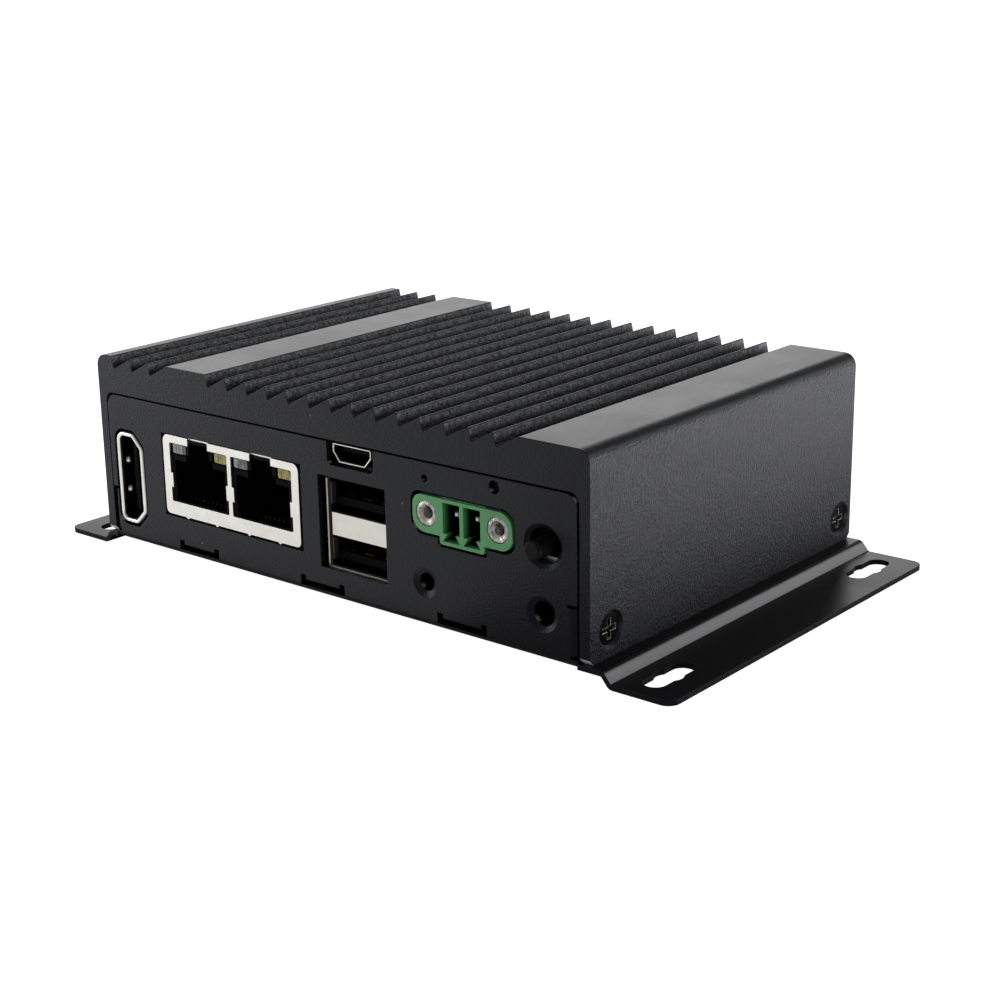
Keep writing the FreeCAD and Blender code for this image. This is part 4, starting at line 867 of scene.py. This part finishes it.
class COMPUTER_OT_usb(bpy.types.Operator):
    """Stacked socket pair and the small socket above it"""
    bl_idname = "computer.usb"
    bl_label = "USB sockets"

    def execute(self, context):
        look = settings(context).sockets
        low, high = place("usb_shell")
        # Painted shade: the shell turns dark inside past its front and along the top of its rim.
        dress("usb_shell", plated("satin_plate", (0.67, 0.65, 0.6), 0.42, relief=0.002, stain=0.2,
                                  depth_shade=(0.03, [(BACK, low[1] / MM + 0.25, 0.7),
                                               (UP, high[2] / MM - 0.55, 0.1)], [])))
        dress("usb_housing", shared("black_moulding", look))
        low, high = place("usb_contacts")
        wide = 1.0 * MM
        thick = 0.22 * MM
        parts = []
        for level in (low[2], high[2] - 0.25 * MM):
            run = eased([(low[1], level + 0.02 * MM), (low[1] + 0.5 * MM, level + 0.14 * MM),
                         (low[1] + 2.2 * MM, level + 0.13 * MM), (high[1], level + 0.12 * MM)], 2)
            for x in np.linspace(low[0] + 0.5 * wide, high[0] - 0.5 * wide, 8)[[0, 3, 4, 7]]:
                line = np.column_stack([np.full(len(run), x), run])
                parts.append(wire(line, wide, thick, power=6.0))
        strips = piece("usb_spring_strips", parts, shared("gold_flash", look), "computer")
        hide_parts("usb_contacts")
        low, high = place("micro_usb_shell")
        cut = 1.3 * MM
        r = 0.3 * MM
        mid = low[2] + 0.55 * (high[2] - low[2])
        points, ways = outline([(low[0] + cut, low[2], r), (high[0] - cut, low[2], r), (high[0], mid, r),
                                (high[0], high[2], r), (low[0], high[2], r), (low[0], mid, r)])
        wall = 0.25 * MM
        front = low[1]
        profile = [(0.0, high[1]), (0.0, front + 0.08 * MM), (-0.07 * MM, front), (-0.18 * MM, front),
                   (-wall, front + 0.08 * MM), (-wall, high[1])]
        # Painted shade: the rolled shell turns dark inside past its front.
        finish = plated("rolled_nickel", look.nickel, 0.3, depth_shade=(0.04, [(BACK, front / MM + 0.25, 0.4)], []))
        made = piece("micro_rolled_shell", [shell(points, ways, profile)], finish, "computer")
        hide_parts("micro_usb_shell")
        dress("micro_usb_tongue", shared("black_moulding", look))
        dress("micro_usb_contacts", shared("gold_flash", look))
        return {"FINISHED"}


class COMPUTER_OT_header(bpy.types.Operator):
    """Green terminal header with its pins and threaded inserts"""
    bl_idname = "computer.header"
    bl_label = "Terminal header"

    def execute(self, context):
        look = settings(context).sockets
        screws = settings(context).screws
        low, high = place("terminal_header")
        # Painted shade: the green moulding turns dark inside its openings past its front.
        dress("terminal_header", moulded("green_moulding", look.green, 0.45, bright=0.75,
                                         depth_shade=(0.03, [(BACK, low[1] / MM + 0.3, 1.4)], [])))
        dress("terminal_pins", shared("zinc_plate", look))
        low, high = place("terminal_inserts")
        outer = 1.93 * MM
        bore = 1.0 * MM
        inset = 1.95 * MM
        knurls = 24
        knurl_depth = 0.05 * MM
        thread_depth = 0.14 * MM
        ring_depth = 0.04 * MM
        ring_pitch = 0.15 * MM
        front = low[1]
        back = high[1]
        z = 0.5 * (low[2] + high[2])

        def swell(t, r, h):
            """Knurl on the outside, and a helical thread of triangle section in the bore."""
            knurl = np.where(r > 1.8 * MM, -knurl_depth * (0.5 + 0.5 * np.cos(knurls * t)), 0.0)
            turn = (h / (0.8 * screws.pitch) - t / FULL_TURN) % 1.0
            thread = np.where(r < 1.05 * MM, -thread_depth * np.abs(2.0 * turn - 1.0), 0.0)
            return knurl + thread

        def press(t, r, h):
            """Shallow turning rings on the face."""
            on_face = (h < front + 0.2 * MM) & (r > 1.3 * MM) & (r < 1.8 * MM)
            return np.where(on_face, ring_depth * (0.5 + 0.5 * np.cos(r / ring_pitch * FULL_TURN)), 0.0)

        profile = [(bore + 0.32 * MM, front + 0.02 * MM)]
        profile += [(radius, front) for radius in np.linspace(1.36, 1.78, 12) * MM]
        profile += [(outer, front + 0.12 * MM), (outer, back), (bore, back)]
        profile += [(bore, h) for h in np.linspace(back - 0.05 * MM, front + 0.4 * MM, 40)]
        parts = []
        for x in (low[0] + inset, high[0] - inset):
            parts.append(turned((x, 0.0, z), "y", profile, screws.steps, swell, press))
        made = piece("threaded_inserts", parts, self.finish(), "computer")
        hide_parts("terminal_inserts")
        return {"FINISHED"}

    def finish(self):
        """Nickel with blotches of a duller, warmer tone."""
        material, tree, shader = blank("insert_nickel")
        drift = use(tree, patches(), Size=0.55)
        edge = use(tree, worn_edge(), Radius=0.06)
        bright = (0.7, 0.68, 0.65, 1.0)
        dull = (0.34, 0.31, 0.28, 1.0)
        feed(tree, shader, {"Base Color": blend(tree, drifting(tree, drift, 0.5, 0.5), bright, dull),
                            "Metallic": 0.85, "Roughness": drifting(tree, drift, 0.1, 0.42)})
        bumped(tree, shader, drift.outputs["Drift"], 0.01, edge.outputs["Normal"])
        return material


class COMPUTER_OT_switches(bpy.types.Operator):
    """Power button, its case and frame, reset plunger and status light"""
    bl_idname = "computer.switches"
    bl_label = "Switches and light"

    def execute(self, context):
        look = settings(context).sockets
        steps = settings(context).screws.steps
        low, high = place("power_button")
        x = 0.5 * (low[0] + high[0])
        z = 0.5 * (low[2] + high[2])
        flange = 0.5 * (high[0] - low[0])
        stem = 1.45 * MM
        crown = np.linspace(0.0, 0.5 * math.pi, 12)
        tip = 0.42 * MM
        profile = [(0.0, low[1] + 0.03 * MM), (0.45 * stem, low[1] + 0.02 * MM)]
        profile += [(stem - tip + tip * math.sin(a), low[1] + tip - tip * math.cos(a)) for a in crown]
        seat = high[1] - 0.7 * MM
        profile += [(stem, seat), (flange - 0.08 * MM, seat), (flange, seat + 0.08 * MM),
                    (flange, high[1] - 0.08 * MM), (flange - 0.08 * MM, high[1]), (0.0, high[1])]
        finish = moulded("button_moulding", (0.004, 0.004, 0.0045), 0.5, bright=0.1, specular=0.12)
        button = piece("round_push_button", [turned((x, 0.0, z), "y", profile, steps)], finish,
                       "button")
        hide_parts("power_button")
        dress("power_switch_body", shared("black_moulding", look))
        dress("power_switch_frame", plated("bracket_steel", (0.3, 0.3, 0.3), 0.4))
        dress("power_switch_contact", shared("zinc_plate", look))
        dress("reset_switch_body", shared("black_moulding", look))
        dress("reset_plunger", moulded("reset_moulding", (0.02, 0.02, 0.021), 0.45))
        dress("status_light", lens("status_resin", (0.05, 0.05, 0.05), (0.11, 0.11, 0.11)))
        return {"FINISHED"}


class COMPUTER_OT_inside(bpy.types.Operator):
    """Board, chips, heat path and fixings inside the housing"""
    bl_idname = "computer.inside"
    bl_label = "Inside parts"

    def execute(self, context):
        look = settings(context).sockets
        for node in ("memory_chips", "storage_chip", "network_chips"):
            dress(node, shared("chip_resin", look))
        for node in ("board_screws", "heat_block_screws"):
            dress(node, shared("zinc_plate", look))
        dress("board_standoffs", shared("turned_brass", look))
        dress("clock_cell", plated("cell_steel", (0.7, 0.7, 0.69), 0.25, stain=0.2))
        dress("battery_holder", shared("black_moulding", look))
        dress("heat_block", plated("milled_block", (0.72, 0.73, 0.75), 0.4, streak=(0.06, 1.0, 1.0)))
        dress("power_capacitors", plated("drawn_can", (0.7, 0.71, 0.73), 0.34))
        dress("power_inductors", moulded("ferrite", (0.05, 0.05, 0.052), 0.6, relief=0.02))
        dress("thermal_pad", moulded("soft_pad", (0.28, 0.34, 0.42), 0.7, relief=0.02))
        dress("processor_die", moulded("silicon", (0.05, 0.05, 0.06), 0.18, relief=0.0005))
        dress("processor_base", moulded("laminate", (0.01, 0.07, 0.035), 0.4))
        dress("mainboard", self.board())
        return {"FINISHED"}

    def board(self):
        """Black solder mask: copper runs stand up faintly in a square pattern."""
        material, tree, shader = blank("black_solder_mask")
        runs = add(tree, "ShaderNodeTexVoronoi", {"feature": "F1", "distance": "CHEBYCHEV"},
                   Vector=millimetres(tree, 1.6), Scale=1.0)
        drift = use(tree, patches(), Size=6.0)
        edge = use(tree, worn_edge(), Radius=0.1)
        raised = between(tree, runs.outputs["Distance"], 0.28, 0.34)
        mask = (0.006, 0.0075, 0.008, 1.0)
        over_copper = (0.011, 0.014, 0.014, 1.0)
        feed(tree, shader, {"Base Color": blend(tree, raised, mask, over_copper),
                            "Roughness": drifting(tree, drift, 0.05, 0.35), "Specular IOR Level": 0.35})
        bumped(tree, shader, raised, 0.02, edge.outputs["Normal"])
        return material


class COMPUTER_OT_stage(bpy.types.Operator):
    """Floor, soft lights and camera"""
    bl_idname = "computer.stage"
    bl_label = "Stage"

    def execute(self, context):
        look = settings(context).stage
        self.floor()
        self.room(context, look)
        middle = np.array([0.0, 0.0, 0.016])
        self.soft_light("side_softbox", look.side, 0.25, middle + [0.3, 0.38, 0.145], middle)
        self.sheet("right_sheet", look.glow, (0.076, -0.05), (0.226, 0.43))
        self.sheet("front_sheet", look.front, (-0.3, -0.28), (0.02, -0.037))
        self.soft_light("back_softbox", look.back, 0.7, middle + [-0.55, 0.66, 0.28], middle)
        self.soft_light("left_softbox", look.left, 0.15, middle + [-0.3, -0.2, 0.045], middle)
        self.camera(context, look)
        return {"FINISHED"}

    def floor(self):
        """Pale sheet: z = 0 out to a large radius, in rings whose radius grows by a fixed factor."""
        radii = 0.05 * 1.35 ** np.arange(24)
        points, faces = turned((0.0, 0.0, -0.0002), "z", [(0.0, 0.0)] + [(r, 0.0) for r in radii], 64)
        mesh = bpy.data.meshes.new("floor")
        mesh.from_pydata(points.tolist(), [], faces.tolist())
        work = bmesh.new()
        work.from_mesh(mesh)
        bmesh.ops.remove_doubles(work, verts=work.verts, dist=1e-7)
        bmesh.ops.recalc_face_normals(work, faces=work.faces)
        for face in work.faces:
            if face.normal.z < 0.0:
                face.normal_flip()
        work.to_mesh(mesh)
        work.free()
        material, tree, shader = blank("pale_paper")
        drift = use(tree, patches(), Size=60.0)
        paper = blend(tree, drifting(tree, drift, 0.5, 0.5), (0.93, 0.93, 0.925, 1.0), grey(0.9))
        seen = add(tree, "ShaderNodeLightPath").outputs["Is Camera Ray"]
        feed(tree, shader, {"Base Color": paper, "Roughness": 0.9, "Specular IOR Level": 0.1,
                            "Emission Color": grey(1.0), "Emission Strength": seen})
        mesh.materials.append(material)
        made = bpy.data.objects.new("floor", mesh)
        bpy.context.scene.collection.objects.link(made)

    def room(self, context, look):
        """Even white light from all round."""
        world = bpy.data.worlds.new("studio")
        world.use_nodes = True
        paint = world.node_tree.nodes["Background"]
        paint.inputs["Color"].default_value = (1.0, 1.0, 1.0, 1.0)
        paint.inputs["Strength"].default_value = look.sky
        context.scene.world = world

    def sheet(self, name, power, low, high):
        """Light sheet that lies on the floor between two corners and shines upwards."""
        data = bpy.data.lights.new(name, "AREA")
        data.shape = "RECTANGLE"
        data.size = high[0] - low[0]
        data.size_y = high[1] - low[1]
        data.energy = power
        made = bpy.data.objects.new(name, data)
        middle = (0.5 * (low[0] + high[0]), 0.5 * (low[1] + high[1]), 0.5 * MM)
        made.matrix_world = Matrix.Translation(middle) @ Matrix.Rotation(math.pi, 4, "X")
        bpy.context.scene.collection.objects.link(made)

    def soft_light(self, name, power, size, spot, target):
        """Round soft light at a spot, turned to the target."""
        data = bpy.data.lights.new(name, "AREA")
        data.shape = "DISK"
        data.size = size
        data.energy = power
        made = bpy.data.objects.new(name, data)
        back = np.asarray(spot) - np.asarray(target)
        back /= np.linalg.norm(back)
        right = np.cross([0.0, 0.0, 1.0], back)
        right /= np.linalg.norm(right)
        up = np.cross(back, right)
        turn = np.eye(4)
        turn[:3, 0] = right
        turn[:3, 1] = up
        turn[:3, 2] = back
        turn[:3, 3] = spot
        made.matrix_world = Matrix(turn.tolist())
        bpy.context.scene.collection.objects.link(made)

    def camera(self, context, look):
        """Camera to the right of the front, a little above, with a small shift of the frame."""
        data = bpy.data.cameras.new("view")
        data.lens = look.lens
        data.sensor_width = 36.0
        data.shift_x = 0.05876
        data.shift_y = -0.00943
        data.clip_start = 0.01
        data.clip_end = 100.0
        made = bpy.data.objects.new("view", data)
        right = (0.75508548, 0.6552143, -0.02324098)
        down = (0.17294418, -0.23324778, -0.95691472)
        ahead = (-0.63240512, 0.71853302, -0.28943751)
        spot = (0.191355, -0.224976, 0.099783)
        rows = [[right[k], -down[k], -ahead[k], spot[k]] for k in range(3)] + [[0.0, 0.0, 0.0, 1.0]]
        made.matrix_world = Matrix(rows)
        context.scene.collection.objects.link(made)
        context.scene.camera = made


class COMPUTER_PT_looks(bpy.types.Panel):
    """Everything that dresses the computer"""
    bl_idname = "COMPUTER_PT_looks"
    bl_label = "Fanless Computer"
    bl_space_type = "VIEW_3D"
    bl_region_type = "UI"
    bl_category = "Fanless Computer"

    def draw(self, context):
        look = settings(context)
        for label, values in (("Housing", look.housing), ("Sockets", look.sockets),
                              ("Screws", look.screws), ("Stage", look.stage)):
            box = self.layout.box()
            box.label(text=label)
            for name in values.__annotations__:
                box.prop(values, name)
        for step in STEPS:
            self.layout.operator(step.bl_idname)


STEPS = (COMPUTER_OT_housing, COMPUTER_OT_screws, COMPUTER_OT_network, COMPUTER_OT_display,
         COMPUTER_OT_usb, COMPUTER_OT_header, COMPUTER_OT_switches, COMPUTER_OT_inside, COMPUTER_OT_stage)
CLASSES = (HousingLook, SocketLook, ScrewLook, StageLook, ComputerLook, *STEPS, COMPUTER_PT_looks)


def register():
    for item in CLASSES:
        bpy.utils.register_class(item)
    bpy.types.Scene.computer_look = PointerProperty(type=ComputerLook)


def unregister():
    del bpy.types.Scene.computer_look
    for item in reversed(CLASSES):
        bpy.utils.unregister_class(item)


def main():
    register()
    bpy.context.scene.view_settings.view_transform = "Standard"
    bpy.ops.computer.housing()
    bpy.ops.computer.screws()
    bpy.ops.computer.network()
    bpy.ops.computer.display()
    bpy.ops.computer.usb()
    bpy.ops.computer.header()
    bpy.ops.computer.switches()
    bpy.ops.computer.inside()
    bpy.ops.computer.stage()


if __name__ == "__main__":
    main()
